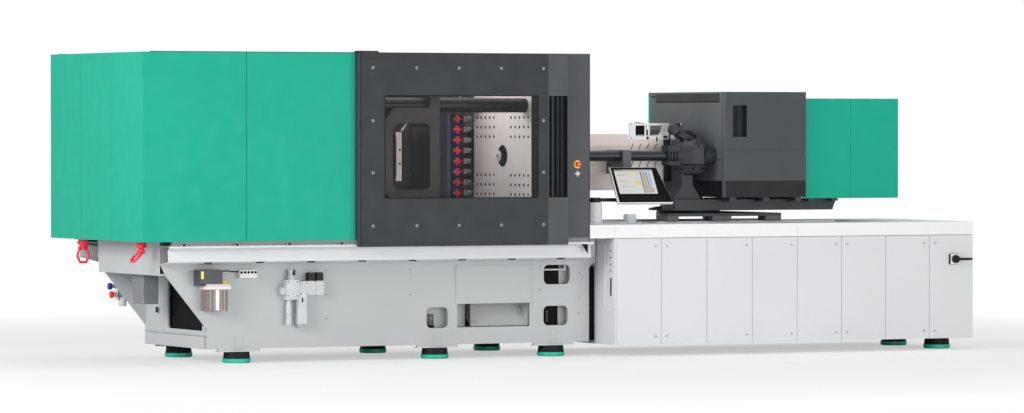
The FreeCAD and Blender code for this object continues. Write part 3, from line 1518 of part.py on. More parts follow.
def control_panel():
    """Operator panel that leans back, with a recessed screen, key strip and a hinge lug."""
    slope = math.hypot(panel_rise, panel_lean)
    x0 = panel_left_x
    low = [Vector(x0, panel_bottom_y, panel_bottom_z),
           Vector(panel_bottom_right_x, panel_bottom_y, panel_bottom_z),
           Vector(panel_top_right_x, panel_bottom_y + panel_lean, panel_bottom_z + panel_rise),
           Vector(x0, panel_bottom_y + panel_lean, panel_bottom_z + panel_rise)]
    right = Vector(1, 0, 0)
    up = Vector(0, panel_lean / slope, panel_rise / slope)
    inward = Vector(0, panel_rise / slope, -panel_lean / slope)
    slab = prism(low, inward * panel_thickness)
    corner = low[0] + right * bezel_left + up * bezel_bottom
    width = panel_top_right_x - x0 - bezel_left - bezel_right
    height = slope - bezel_bottom - bezel_top
    face = [corner, corner + right * width, corner + right * width + up * height,
            corner + up * height]
    recess = prism([p - inward for p in face], inward * (screen_recess + 1))
    body = slab.cut(recess)
    lug_x0 = panel_left_x + riser_inset + riser_width + fit_gap
    lug_x1 = lug_x0 + tilt_pin_length - fit_gap
    back = low[0] + up * (slope / 2.0)
    lug = block(lug_x0, lug_x1, back.y, post_y + arm_width / 2.0, tilt_z - lug_half,
                tilt_z + lug_half)
    lug = lug.cut(rod_x(lug_x0 - 1, lug_x1 + 1, post_y, tilt_z, tilt_pin_radius + hinge_play))
    behind = prism([p + inward * (panel_thickness - 1.0) for p in low], inward * slope)
    return one([body, lug.common(behind)])


# ---------------------------------------------------------------- lifting points
def hoist_caps():
    """Screwed-in heads of the two lifting rings, with the pin that carries each ring."""
    shapes = []
    pivot = base_top_z - hoist_pivot_drop
    low_z = base_top_z - hoist_cap_height
    for side in (-1, 1):
        y = side * hoist_y
        cap = turned_z(hoist_x, y, [(0, base_top_z), (hoist_cap_radius - hoist_edge, base_top_z),
                                    (hoist_cap_radius, base_top_z - hoist_edge),
                                    (hoist_cap_radius, low_z),
                                    (hoist_neck_radius, low_z - hoist_edge * 2),
                                    (hoist_neck_radius, pivot - hoist_pin_radius - 2.0),
                                    (0, pivot - hoist_pin_radius - hoist_edge)])
        if side < 0:
            pin = rod_y(hoist_x, y - hoist_pin_half, y + hoist_pin_half, pivot, hoist_pin_radius)
        else:
            pin = rod_x(hoist_x - hoist_pin_half, hoist_x + hoist_pin_half, y, pivot,
                        hoist_pin_radius)
        shapes.append(one([cap, pin]))
    return group(shapes)


def hoist_loop():
    """Closed lifting ring in the plane of X and Z, hanging from eyes on its pin."""
    bar = hoist_loop_bar
    half = hoist_loop_half
    bend_z = -hoist_loop_bend
    foot_z = -hoist_loop_reach + bar
    foot_x = hoist_loop_foot
    eye_x = (hoist_neck_radius + fit_gap * 3, hoist_pin_half - 1.0)
    pieces = []
    for side in (-1, 1):
        eye_x0, eye_x1 = sorted((side * eye_x[0], side * eye_x[1]))
        shoulder = Vector(side * (eye_x[1] - bar / 4.0), 0, -hoist_pin_radius)
        bend = Vector(side * half, 0, bend_z)
        foot = Vector(side * foot_x, 0, foot_z)
        pieces.append(rod_x(eye_x0, eye_x1, 0, 0, hoist_eye_radius))
        pieces.append(strut(shoulder, bend, bar))
        pieces.append(Part.makeSphere(bar, bend))
        pieces.append(strut(bend, foot, bar))
        pieces.append(Part.makeSphere(bar, foot))
    pieces.append(strut(Vector(-foot_x, 0, foot_z), Vector(foot_x, 0, foot_z), bar))
    loop = one(pieces)
    return loop.cut(rod_x(-half, half, 0, 0, hoist_pin_radius + hinge_play))


def hoist_loop_rear():
    loop = hoist_loop()
    loop.translate(Vector(hoist_x, hoist_y, base_top_z - hoist_pivot_drop))
    return loop


def hoist_loop_front():
    loop = hoist_loop()
    loop.rotate(Vector(0, 0, 0), Vector(0, 0, 1), 90)
    loop.rotate(Vector(0, 0, 0), Vector(0, 1, 0), hoist_front_lean)
    loop.translate(Vector(hoist_x, -hoist_y, base_top_z - hoist_pivot_drop))
    return loop


# ---------------------------------------------------------------- service units
def lube_unit():
    """Lubricating pump head with the lid of its tank, on the front side plate."""
    y1 = -base_half_width
    y0 = y1 - lube_depth
    head = rounded_block_y(lube_left_x, lube_right_x, y0, y1, lube_bottom_z, lube_top_z,
                           lube_corner)
    lid = block(lube_lid_left_x, lube_lid_right_x, y0 - lube_lid_overhang, y1,
                lube_bottom_z - lube_lid_height, lube_bottom_z)
    cap = rod_z(lube_lid_right_x - lube_cap_inset, (y0 + y1) / 2.0, lube_bottom_z,
                lube_bottom_z + lube_cap_height, lube_cap_radius)
    return one([head, lid, cap])


def lube_tank():
    y1 = -base_half_width - lube_tank_gap
    y0 = -base_half_width - lube_depth
    z1 = lube_bottom_z - lube_lid_height
    tank = block(lube_tank_left_x, lube_tank_right_x, y0, y1, lube_tank_bottom_z, z1)
    tank = rounded_edges(tank, lube_tank_corner, Vector(0, 0, 1))
    wall = lube_tank_wall
    return tank.cut(block(lube_tank_left_x + wall, lube_tank_right_x - wall, y0 + wall, y1 - wall,
                          lube_tank_bottom_z + wall, z1 - wall))


def oil_distributor():
    """Small distributor block with a row of outlet ports."""
    y1 = -base_half_width
    y0 = y1 - distributor_depth
    body = block(distributor_left_x, distributor_right_x, y0, y1, distributor_bottom_z,
                 distributor_top_z)
    pitch = (distributor_right_x - distributor_left_x) / distributor_ports
    ports = [rod_y(distributor_left_x + pitch * (k + 0.5), y0 - distributor_port_length, y0 + 1.0,
                   distributor_top_z - distributor_port_radius * 2, distributor_port_radius)
             for k in range(distributor_ports)]
    return one([body] + ports)


def hanging_bowl(x, y, top_z, length, radius):
    """Bowl on a neck under a service block, with a rounded lower end."""
    neck = radius * 0.65
    neck_z = top_z - air_neck_length
    low_z = top_z - length
    return turned_z(x, y, [(0, top_z), (neck, top_z), (neck, neck_z), (radius, neck_z - neck / 2.0),
                           (radius, low_z + neck), (neck, low_z + neck / 4.0), (neck / 3.0, low_z),
                           (0, low_z)])


def air_unit():
    """Compressed air preparation: inlet, filter regulator, branch and two valves."""
    y1 = -base_half_width
    y0 = y1 - air_depth
    mid_y = (y0 + y1) / 2.0
    x = air_left_x
    z = air_z
    main_x = x + air_inlet_length
    low_z = z - air_main_drop
    top_z = z + air_main_height
    main = rounded_block_y(main_x, main_x + air_main_width, y0, y1, low_z, top_z, lube_corner)
    inlet = rod_x(x, main_x + 1.0, mid_y, z + air_inlet_radius, air_inlet_radius)
    knob_x = main_x + air_main_width / 2.0
    collar = air_knob_radius + air_collar_step
    collar_z0 = top_z + air_collar_rise[0]
    collar_z1 = top_z + air_collar_rise[1]
    knob_z = top_z + air_knob_height
    knob = turned_z(knob_x, mid_y, [(0, top_z), (air_knob_radius, top_z),
                                    (air_knob_radius, collar_z0), (collar, collar_z0),
                                    (collar, collar_z1), (air_knob_radius, collar_z1),
                                    (air_knob_radius, knob_z), (0, knob_z)])
    silencer = hanging_bowl(main_x + air_main_width / 3.0, mid_y, low_z, air_silencer_length,
                            air_silencer_radius)
    branch_x = main_x + air_main_width
    step = air_valve_step
    branch = block(branch_x, branch_x + air_branch_width, y0 + step, y1, z, z + air_valve_height)
    bowl = hanging_bowl(branch_x + air_bowl_radius, mid_y, z, air_bowl_length, air_bowl_radius)
    valves = []
    for k in range(air_valve_count):
        x0 = branch_x + air_branch_width + air_valve_pitch * k
        x1 = x0 + air_valve_pitch
        body_z = z + air_valve_height
        valves.append(block(x0, x1, y0 + step * 2, y1, z, body_z))
        valves.append(block(x0 + step, x1 - step, y0 + step * 3, y1 - step, body_z,
                            body_z + air_switch_height))
    return one([main, inlet, knob, silencer, branch, bowl] + valves)


def water_valves():
    """Cooling water inlet with two hand valves and a strainer, behind the rear side plate."""
    y0 = base_half_width
    y1 = y0 + valve_depth
    mid = (y0 + y1) / 2.0
    x = valve_x
    upper_z = valve_z + valve_spacing
    pipe = rod_z(x, mid, valve_z - valve_pipe_drop, upper_z + valve_pipe_radius, valve_pipe_radius)
    body = block(x - valve_pipe_radius, x + valve_body_length, y0, y1 - valve_pipe_radius / 2.0,
                 valve_z - valve_body_half, valve_z + valve_body_half)
    pieces = [pipe, body]
    for z, reach in ((upper_z, valve_upper_reach), (valve_z, valve_lower_reach)):
        pieces.append(rod_x(x - reach, x, mid, z, valve_stem_radius))
        pieces.append(polygon_x(x - reach - valve_knob_length, x - reach, mid, z,
                                valve_knob_radius, 8))
    low_z = valve_z - strainer_length
    pieces.append(turned_z(x + strainer_x, mid, [(0, low_z), (strainer_radius - strainer_edge, low_z),
                                                 (strainer_radius, low_z + strainer_edge),
                                                 (strainer_radius, valve_z), (0, valve_z)]))
    return one(pieces)


# ---------------------------------------------------------------- parts
parts = {
    "base_front_plate": side_plate_front(),
    "base_rear_plate": mirrored(side_plate_front()),
    "base_end_frame": base_end_frame(),
    "machine_bed": machine_bed(),
    "foot_discs": foot_discs(),
    "foot_rubbers": foot_rubbers(),
    "chute_cover": chute_cover(),
    "front_ledge": ledge_front(),
    "rear_ledge": mirrored(ledge_front()),
    "clamp_cover_panels": clamp_cover_panels(),
    "front_gate_frame": gate_frame(),
    "rear_gate_frame": mirrored(gate_frame()),
    "front_gate": gate(),
    "front_gate_window": gate_window(),
    "front_gate_grip": gate_grip(),
    "rear_gate": mirrored(gate().fuse(gate_grip()).removeSplitter()),
    "rear_gate_window": mirrored(gate_window()),
    "fixed_platen": fixed_platen(),
    "moving_platen": moving_platen(),
    "ejector": ejector(),
    "clamp_ram": clamp_ram(),
    "cylinder_platen": cylinder_platen(),
    "tie_bars": tie_bars(),
    "water_manifold": water_manifold(),
    "injection_deck": injection_deck(),
    "cabinet_frame": cabinet_frame(),
    "main_switch_plate": main_switch_plate(),
    "main_switch_lever": main_switch_lever(),
    "pump_motor": pump_motor(),
    "traverse_rods": traverse_rods(),
    "barrel_guard": barrel_guard(),
    "sliding_guard": sliding_guard(),
    "carriage": carriage(),
    "injection_housing": injection_housing(),
    "barrel": barrel(),
    "screw": screw(),
    "plasticising_motor": plasticising_motor(),
    "unit_cover": unit_cover(),
    "drive_cover": drive_cover(),
    "estop_ring": estop_ring(),
    "estop_button": estop_button(),
    "key_switch": key_switch(),
    "panel_arm": panel_arm(),
    "control_panel": control_panel(),
    "hoist_caps": hoist_caps(),
    "hoist_loop_front": hoist_loop_front(),
    "hoist_loop_rear": hoist_loop_rear(),
    "lube_unit": lube_unit(),
    "lube_tank": lube_tank(),
    "oil_distributor": oil_distributor(),
    "air_unit": air_unit(),
    "water_valves": water_valves(),
}
for number in range(door_count):
    parts["cabinet_door_%d" % (number + 1)] = cabinet_door(number)

os.makedirs("parts", exist_ok=True)
for name, shape in parts.items():
    shape.exportStep(os.path.join("parts", name + ".step"))
    print(name, len(shape.Solids), round(shape.Volume / 1e6, 2), shape.isValid())
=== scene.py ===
import json
import math

import bmesh
import bpy
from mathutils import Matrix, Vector


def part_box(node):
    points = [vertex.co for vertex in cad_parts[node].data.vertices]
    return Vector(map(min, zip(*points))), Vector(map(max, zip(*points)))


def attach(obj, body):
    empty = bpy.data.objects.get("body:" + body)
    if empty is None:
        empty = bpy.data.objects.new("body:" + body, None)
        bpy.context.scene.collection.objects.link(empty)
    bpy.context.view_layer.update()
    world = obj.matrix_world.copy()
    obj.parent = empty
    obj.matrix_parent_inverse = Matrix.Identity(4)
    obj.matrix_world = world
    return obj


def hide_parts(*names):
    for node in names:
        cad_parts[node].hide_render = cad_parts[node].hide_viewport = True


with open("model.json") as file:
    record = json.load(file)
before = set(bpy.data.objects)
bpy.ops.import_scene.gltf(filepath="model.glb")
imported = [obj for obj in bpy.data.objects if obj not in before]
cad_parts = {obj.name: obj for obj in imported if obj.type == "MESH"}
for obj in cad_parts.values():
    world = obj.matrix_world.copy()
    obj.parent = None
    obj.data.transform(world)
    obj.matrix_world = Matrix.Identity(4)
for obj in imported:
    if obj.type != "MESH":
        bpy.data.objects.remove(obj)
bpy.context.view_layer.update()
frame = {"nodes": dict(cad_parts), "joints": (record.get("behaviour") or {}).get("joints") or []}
nodes = frame["nodes"]
scene = bpy.context.scene
mm = 0.001
print("frame loaded:", len(nodes), "nodes")


# colours and finishes

def srgb(code):
    # hex colour to linear values
    parts = [int(code[i:i + 2], 16) / 255 for i in (0, 2, 4)]
    return tuple(c / 12.92 if c < 0.04045 else ((c + 0.055) / 1.055) ** 2.4 for c in parts)


def shade(colour, amount):
    return tuple(min(1.0, c * amount) for c in colour)


class Net:
    # small helper to place and join shader nodes
    def __init__(self, name):
        self.mat = bpy.data.materials.new(name)
        self.mat.use_nodes = True
        self.tree = self.mat.node_tree
        self.shader = self.tree.nodes["Principled BSDF"]
        self.place = self.add("ShaderNodeTexCoord").outputs["Object"]

    def fill(self, node, values):
        for key, value in values.items():
            self.join(value, node.inputs[key.replace("_", " ")])

    def add(self, kind, **values):
        node = self.tree.nodes.new(kind)
        self.fill(node, values)
        return node

    def finish(self, **values):
        self.fill(self.shader, values)
        mats[self.mat.name] = self.mat

    def join(self, value, socket):
        if isinstance(value, bpy.types.NodeSocket):
            self.tree.links.new(value, socket)
        else:
            socket.default_value = value

    def stretched(self, scale):
        return self.add("ShaderNodeMapping", Vector=self.place, Scale=scale).outputs[0]

    def noise(self, scale, detail=2.0, at=None, rough=0.5):
        return self.add("ShaderNodeTexNoise", Vector=at or self.place, Scale=scale, Detail=detail,
                        Roughness=rough).outputs[0]

    def spread(self, value, low, high, fromLow=0.3, fromHigh=0.7):
        return self.add("ShaderNodeMapRange", Value=value, From_Min=fromLow, From_Max=fromHigh, To_Min=low,
                        To_Max=high).outputs[0]

    def maths(self, way, a, b=0.5):
        node = self.add("ShaderNodeMath")
        node.operation = way
        self.join(a, node.inputs[0])
        self.join(b, node.inputs[1])
        return node.outputs[0]

    def mixed(self, factor, a, b):
        node = self.tree.nodes.new("ShaderNodeMix")
        node.data_type = "RGBA"
        self.join(factor, node.inputs["Factor"])
        for value, socket in ((a, node.inputs[6]), (b, node.inputs[7])):
            self.join(value if isinstance(value, bpy.types.NodeSocket) else (*value, 1.0), socket)
        return node.outputs[2]

    def softened(self, radius):
        # normal with rounded edges, radius in millimetres
        node = self.add("ShaderNodeBevel", Radius=radius * mm)
        node.samples = 4
        return node.outputs[0]

    def bump(self, height, strength, distance, **normal):
        return self.add("ShaderNodeBump", Height=height, Strength=strength, Distance=distance,
                        **normal).outputs[0]

    def within(self, limits):
        # 1 inside a box given as (axis, low, high) in millimetres
        split = self.add("ShaderNodeSeparateXYZ", Vector=self.place)
        factor = None
        for axis, low, high in limits:
            along = split.outputs["XYZ".index(axis)]
            inside = self.maths("MULTIPLY", self.maths("GREATER_THAN", along, low * mm),
                                self.maths("LESS_THAN", along, high * mm))
            factor = inside if factor is None else self.maths("MULTIPLY", factor, inside)
        return factor

    def zoned(self, colour, zones=()):
        for limits, other in zones:
            colour = self.mixed(self.within(limits), colour, other)
        return colour


mats = {}


def zone(code, **limits):
    # part of a finish with another colour, between millimetre limits along X, Y or Z
    return [(axis, *span) for axis, span in limits.items()], srgb(code)


def paint(name, code, rough=0.5, drift=0.04, driftScale=1.4, zones=(), edge=3.0, rubAndSheen=0.3, coat=0.0):
    # sprayed or powder-coated sheet: slow colour drift, fine texture, softened edges, and lighter edges that
    # are partly rubbed wear and partly painted highlight
    net = Net(name)
    base = srgb(code)
    cloud = net.spread(net.noise(driftScale, 4.0), 0.0, 1.0)
    colour = net.zoned(net.mixed(cloud, shade(base, 1 - drift), shade(base, 1 + drift)), zones)
    soft = net.softened(edge)
    turn = net.add("ShaderNodeVectorMath")
    turn.operation = "DOT_PRODUCT"
    net.join(soft, turn.inputs[0])
    net.join(net.add("ShaderNodeNewGeometry").outputs["Normal"], turn.inputs[1])
    # lighter colour where the bevel turns, patchy: rubbed wear and a painted edge highlight
    wornAndHighlit = net.maths("MULTIPLY", net.spread(turn.outputs["Value"], rubAndSheen, 0.0, 0.6, 0.98),
                     net.spread(net.noise(18.0, 5.0), 0.3, 1.0))
    net.finish(Base_Color=net.mixed(wornAndHighlit, colour, shade(base, 1.6)), Specular_IOR_Level=0.2,
               Coat_Weight=coat, Coat_Roughness=0.25,
               Roughness=net.spread(net.noise(9.0, 5.0), rough - 0.05, rough + 0.06),
               Normal=net.bump(net.noise(420.0, 2.0), 0.06, 0.0006, Normal=soft))


def steel(name, code, streak=(30.0, 30.0, 30.0), streakScale=3.0, contrast=0.06, rough=0.45, metal=0.2,
          stain=0.12, stainColour=None, zones=(), edge=2.0):
    # machined metal: tool streaks along one axis, and stains
    net = Net(name)
    base = srgb(code)
    streaks = net.noise(streakScale, 6.0, net.stretched(streak), 0.65)
    colour = net.mixed(net.spread(streaks, 0.0, 1.0), shade(base, 1 - contrast), shade(base, 1 + contrast))
    colour = net.mixed(net.spread(net.noise(3.0, 5.0), 0.0, stain, 0.45, 0.75), colour,
                       stainColour or shade(base, 0.6))
    net.finish(Base_Color=net.zoned(colour, zones), Metallic=metal,
               Roughness=net.spread(streaks, rough - 0.08, rough + 0.1),
               Normal=net.bump(streaks, 0.08, 0.0008, Normal=net.softened(edge)))


def casting(name, code, contrast, rough=0.5, edge=5.0, skin=0.25, shine=0.2, zones=()):
    # painted or bare casting: coarse skin with pits
    net = Net(name)
    base = srgb(code)
    cloud = net.noise(4.0, 6.0)
    colour = net.mixed(net.spread(cloud, 0.0, 1.0), shade(base, 1 - contrast), shade(base, 1 + contrast))
    pits = net.maths("ADD", net.noise(110.0, 4.0), net.maths("MULTIPLY", net.noise(26.0, 3.0), 0.7))
    net.finish(Base_Color=net.zoned(colour, zones), Specular_IOR_Level=shine,
               Roughness=net.spread(cloud, rough - 0.08, rough + 0.08),
               Normal=net.bump(pits, skin, 0.0015, Normal=net.softened(edge)))


def moulded(name, code, rough=0.4, texture=0.08, shine=0.4, coat=0.0, alpha=1.0):
    # plastic and rubber: even colour with flow marks and fine spark texture
    net = Net(name)
    base = srgb(code)
    flow = net.spread(net.noise(12.0, 3.0), 0.0, 1.0)
    net.finish(Base_Color=net.mixed(flow, shade(base, 0.93), shade(base, 1.07)), Specular_IOR_Level=shine,
               Coat_Weight=coat, Alpha=alpha,
               Roughness=net.spread(net.noise(40.0, 3.0), rough - 0.04, rough + 0.05),
               Normal=net.bump(net.noise(900.0, 2.0), texture, 0.0004))


paint("greenPaint", "0AA488", edge=5.0, rubAndSheen=0.2, drift=0.03, zones=[zone("05997E", X=(-1766, -1720))])
# the end frame's box (X -3012 to -2899) is painted darker: painted shade
paint("basePaint", "B9BCBD", edge=4.0, rubAndSheen=0.15, driftScale=0.9,
      zones=[zone("7E8183", X=(-3012, -2899), Y=(-100, 116), Z=(400, 700))])
paint("lightPaint", "D5D7D9", rough=0.48, rubAndSheen=0.2, drift=0.02, zones=[zone("EAEBEC", Z=(853, 952))])
# the two thin strips at the gate's left edge (X -1719 to -1717 and -1712 to -1700) are a painted highlight
# and painted shade of its folded edge
paint("gatePaint", "303436", edge=2.5, rubAndSheen=0.2, drift=0.05,
      zones=[zone("4A4E50", X=(-235, -50)), zone("43474A", X=(-1719, -1717)),
             zone("1E2022", X=(-1712, -1700))])
paint("gripBlack", "15181A", edge=1.5, rubAndSheen=0.1,
      zones=[zone("0B0D0E", X=(-240, -206)), zone("2E3234", X=(-190, -160)),
             zone("050606", X=(-168, -138), Y=(-911, 911))])
paint("columnPaint", "4B4F51", rubAndSheen=0.2,
      zones=[zone("3E4245", X=(-1800, -1690)), zone("7A7D7E", Z=(700, 860)), zone("25292B", X=(117, 126))])
# the end face (X 1370 to 1378.5) is painted lighter, with a slightly less light strip by its front corner:
# painted light on the face turned to the key light
paint("unitPaint", "454A4D", edge=4.0, rubAndSheen=0.25, drift=0.05,
      zones=[zone("686D70", X=(1370, 1378.5)), zone("1B1F21", Z=(1100, 1258)),
             zone("616669", X=(1370, 1378.5), Y=(-600, -556)),
             zone("26292B", X=(1370, 1378.5), Y=(-556, -549)),
             # the grip recess is painted dark with a black stripe: painted shade in the recess
             zone("25282A", X=(1440, 1562), Y=(-594, 594), Z=(1580, 1813)),
             zone("050606", X=(1476, 1512), Y=(-594, 594), Z=(1580, 1813)),
             zone("0AA488", X=(1370, 1381), Y=(560, 610), Z=(1540, 1880))])
casting("yokePaint", "303437", contrast=0.12, rough=0.48, edge=6.0, skin=0.18, shine=0.3)
casting("carriagePaint", "34393C", contrast=0.1, edge=4.0, skin=0.12, shine=0.3,
        zones=[zone("5A5F61", Z=(950, 998))])
casting("platenCasting", "393430", contrast=0.18, edge=8.0, skin=0.22)
# very dark sheet set in slots and openings: painted shade
casting("paintedShadeSheet", "141312", contrast=0.2, rough=0.6, edge=4.0, shine=0.05)
casting("cylinderCasting", "3C3C3B", contrast=0.15, edge=6.0)
steel("platenSteel", "E8E0DD", streak=(1.0, 24.0, 1.6), metal=0.3, stainColour=srgb("C9BEB8"),
      zones=[zone("2B2827", X=(-145, 100))])
steel("barSteel", "262423", streak=(2.0, 60.0, 60.0), streakScale=2.0, contrast=0.12, rough=0.38, metal=0.85,
      stain=0.15)
steel("darkSteel", "34383A", streak=(3.0, 50.0, 50.0), streakScale=2.0, contrast=0.12, rough=0.35,
      metal=0.85, stain=0.2)
steel("brightSteel", "C6C8C9", contrast=0.08, rough=0.3, metal=0.9, stain=0.1)
steel("guardSheet", "E6DAD5", streak=(1.0, 8.0, 20.0), contrast=0.04, rough=0.5, metal=0.05, edge=3.0,
      zones=[zone("F1F2F3", X=(780, 1300), Z=(1559, 1700)),
             zone("4C5053", X=(600, 676), Y=(-480, -201), Z=(1300, 1490)),
             zone("4C5053", X=(600, 676), Y=(201, 480), Z=(1300, 1490)),
             zone("3A3B3C", X=(1088, 1127), Z=(1480, 1558))])
moulded("footGreen", "12B592")
moulded("rubberBlack", "121314", rough=0.62, texture=0.2, shine=0.2)
moulded("plasticBlack", "0E0F10", rough=0.42, shine=0.2)
moulded("bezelBlack", "050505", rough=0.5, shine=0.08)
moulded("keyField", "1A1716", rough=0.5, shine=0.1)
moulded("plasticGrey", "C6C9CB", rough=0.42)
moulded("plasticDark", "4A4C4D", rough=0.5)
moulded("plasticWhite", "EDEEEE")
moulded("signalYellow", "F5D90A", rough=0.34, coat=0.3)
moulded("signalRed", "E0241C", rough=0.32, coat=0.3)
moulded("valveRed", "F02A1C")
moulded("valveBlue", "1F2C9C")
paint("ringRed", "F5384F", rough=0.4, edge=2.0, rubAndSheen=0.25, coat=0.3)
moulded("unionGrey", "9A9997")
casting("manifoldBlue", "121844", contrast=0.15, rough=0.42, edge=2.0, skin=0.08)
moulded("tankSmoke", "857972", rough=0.25, alpha=0.8, coat=0.2)
moulded("paneClear", "6E777B", rough=0.08, alpha=0.03, texture=0.01)
steel("nozzleSteel", "CFC6C2")
steel("railSheet", "A79C96", streak=(1.0, 8.0, 20.0))
steel("screwGrey", "8D9296", contrast=0.1, metal=0.3, stain=0.15)
# black for dark parts, and painted shade in holes, gaps, slots, grooves and behind openings
moulded("blackAndPaintedShade", "0C0D0E", rough=0.6, shine=0.1)
print("finishes made:", len(mats))

dressing = {
    "greenPaint": ["clamp_cover_panels", "drive_cover"],
    "basePaint": ["base_front_plate", "base_rear_plate", "base_end_frame", "chute_cover", "machine_bed"],
    "lightPaint": ["front_ledge", "rear_ledge", "injection_deck", "cabinet_frame"]
                  + ["cabinet_door_%d" % k for k in range(1, 9)],
    "gatePaint": ["front_gate", "rear_gate"],
    "columnPaint": ["front_gate_frame", "rear_gate_frame"],
    "unitPaint": ["unit_cover"],
    "yokePaint": ["injection_housing"],
    "carriagePaint": ["carriage"],
    "platenCasting": ["moving_platen"],
    "cylinderCasting": ["cylinder_platen", "pump_motor", "plasticising_motor"],
    "platenSteel": ["fixed_platen"],
    "gripBlack": ["front_gate_grip"],
    "barSteel": ["tie_bars", "clamp_ram", "ejector", "screw"],
    "darkSteel": ["traverse_rods", "barrel"],
    "guardSheet": ["barrel_guard", "sliding_guard"],
    "footGreen": ["foot_discs"],
    "rubberBlack": ["foot_rubbers"],
    "plasticBlack": ["main_switch_lever", "panel_arm"],
    "plasticWhite": ["key_switch"],
    "signalYellow": ["estop_ring"],
    "signalRed": ["estop_button"],
    "ringRed": ["hoist_caps", "hoist_loop_front", "hoist_loop_rear"],
    "paneClear": ["front_gate_window", "rear_gate_window"],
    "tankSmoke": ["lube_tank"],
}
for matName, names in dressing.items():
    for name in names:
        for slot in nodes[name].material_slots:
            slot.material = mats[matName]
print("frame dressed")


# mesh helpers, all in millimetres

def ringPoint(axis, along, centre, radius, turn):
    u = centre[0] + radius * math.cos(turn)
    v = centre[1] + radius * math.sin(turn)
    spot = {"x": (along, u, v), "y": (u, along, v), "z": (u, v, along)}[axis]
    return Vector(spot) * mm


def addBox(bm, x0, x1, y0, y1, z0, z1, mat=0):
    corners = [bm.verts.new(Vector((x, y, z)) * mm) for x in (x0, x1) for y in (y0, y1) for z in (z0, z1)]
    for loop in ((0, 1, 3, 2), (4, 6, 7, 5), (0, 4, 5, 1), (2, 3, 7, 6), (0, 2, 6, 4), (1, 5, 7, 3)):
        bm.faces.new([corners[i] for i in loop]).material_index = mat


def addPrism(bm, outline, axis, a0, a1, mat=0):
    # outline is in the two other axes, in order
    def spot(p, a):
        return Vector({"x": (a, p[0], p[1]), "y": (p[0], a, p[1]), "z": (p[0], p[1], a)}[axis]) * mm
    low = [bm.verts.new(spot(p, a0)) for p in outline]
    high = [bm.verts.new(spot(p, a1)) for p in outline]
    count = len(outline)
    faces = [bm.faces.new(low[::-1]), bm.faces.new(high)]
    faces += [bm.faces.new((low[i], low[(i + 1) % count], high[(i + 1) % count], high[i]))
              for i in range(count)]
    for face in faces:
        face.material_index = mat


def addTurned(bm, axis, centre, profile, steps=32, mat=0, ends=(True, True)):
    # profile of (along, radius); ends says which of its two end rings get a face
    rings = []
    for along, radius in profile:
        count = steps if radius > 1e-6 else 1
        rings.append([bm.verts.new(ringPoint(axis, along, centre, radius, 2 * math.pi * k / steps))
                      for k in range(count)])
    faces = []
    for one, two in zip(rings, rings[1:]):
        for k in range(steps):
            n = (k + 1) % steps
            corners = [ring[i % len(ring)] for ring, i in ((one, k), (one, n), (two, n), (two, k))]
            faces.append(bm.faces.new(list(dict.fromkeys(corners))))
    faces += [bm.faces.new(ring) for ring,
              closed in zip((rings[0], rings[-1]), ends) if closed and len(ring) > 1]
    for face in faces:
        face.material_index = mat


def addLathed(bm, axis, centre, spots, steps=32, mat=0):
    # turned solid that reaches its centre line at both ends
    addTurned(bm, axis, centre, [(spots[0][0], 0), *spots, (spots[-1][0], 0)], steps, mat)


def addRod(bm, axis, centre, low, high, radius, steps=32, mat=0):
    addLathed(bm, axis, centre, [(low, radius), (high, radius)], steps, mat)


def addScrew(bm, axis, centre, seat, out, radius, mat=0):
    # domed socket screw: out is +1 or -1 along the axis
    rise = radius * 0.62 * out
    addLathed(bm, axis, centre, [(seat, radius), (seat + rise * 0.45, radius), (seat + rise, radius * 0.62),
                                 (seat + rise, radius * 0.4), (seat + rise * 0.3, radius * 0.36)], 18, mat)


def addSkin(bm, axis, centre, profile, mat=0, steps=20, closed=True):
    # turned surface that stays open at its first ring
    addTurned(bm, axis, centre, profile, steps, mat, (False, closed))


def addBlindHole(bm, axis, centre, seat, floor, bore, rim, mat=0):
    # dark lining of a drilled hole with its chamfer: painted shade inside the hole and on the chamfer
    addSkin(bm, axis, centre, [(seat, rim), (seat, bore), (floor, bore)], mat)


def addFrame(bm, x0, x1, z0, z1, width, y0, y1, mat=0):
    # rectangular frame facing Y
    addBox(bm, x0, x1, y0, y1, z0, z0 + width, mat)
    addBox(bm, x0, x1, y0, y1, z1 - width, z1, mat)
    addBox(bm, x0, x0 + width, y0, y1, z0 + width, z1 - width, mat)
    addBox(bm, x1 - width, x1, y0, y1, z0 + width, z1 - width, mat)


def finishPiece(name, bm, matNames, edge=0.0, standsFor=(), body="machine_body"):
    bmesh.ops.recalc_face_normals(bm, faces=bm.faces)
    mesh = bpy.data.meshes.new(name)
    bm.to_mesh(mesh)
    bm.free()
    for matName in matNames:
        mesh.materials.append(mats[matName])
    mesh.shade_smooth()
    mesh.set_sharp_from_angle(angle=math.radians(32))
    piece = bpy.data.objects.new(name, mesh)
    scene.collection.objects.link(piece)
    if edge:
        rounding = piece.modifiers.new("edges", "BEVEL")
        rounding.width = edge * mm
        rounding.segments = 2
        rounding.limit_method = "ANGLE"
        rounding.angle_limit = math.radians(40)
        rounding.harden_normals = True
    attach(piece, body)
    if standsFor:
        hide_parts(*standsFor)
    return piece


def addPipe(name, points, radius, matName, body):
    # round tube along a smooth line
    curve = bpy.data.curves.new(name, "CURVE")
    curve.dimensions = "3D"
    curve.bevel_depth = radius * mm
    curve.bevel_resolution = 5
    curve.use_fill_caps = True
    spline = curve.splines.new("BEZIER")
    spline.bezier_points.add(len(points) - 1)
    for knot, point in zip(spline.bezier_points, points):
        knot.co = Vector(point) * mm
        knot.handle_left_type = knot.handle_right_type = "AUTO"
    curve.materials.append(mats[matName])
    piece = bpy.data.objects.new(name, curve)
    scene.collection.objects.link(piece)
    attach(piece, body)
    return piece


def mm3(node):
    low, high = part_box(node)
    return low / mm, high / mm


sides = ((-1, "front"), (1, "rear"))
# outer face of the base's side plates, with a hair of clearance
skinY = 575.2

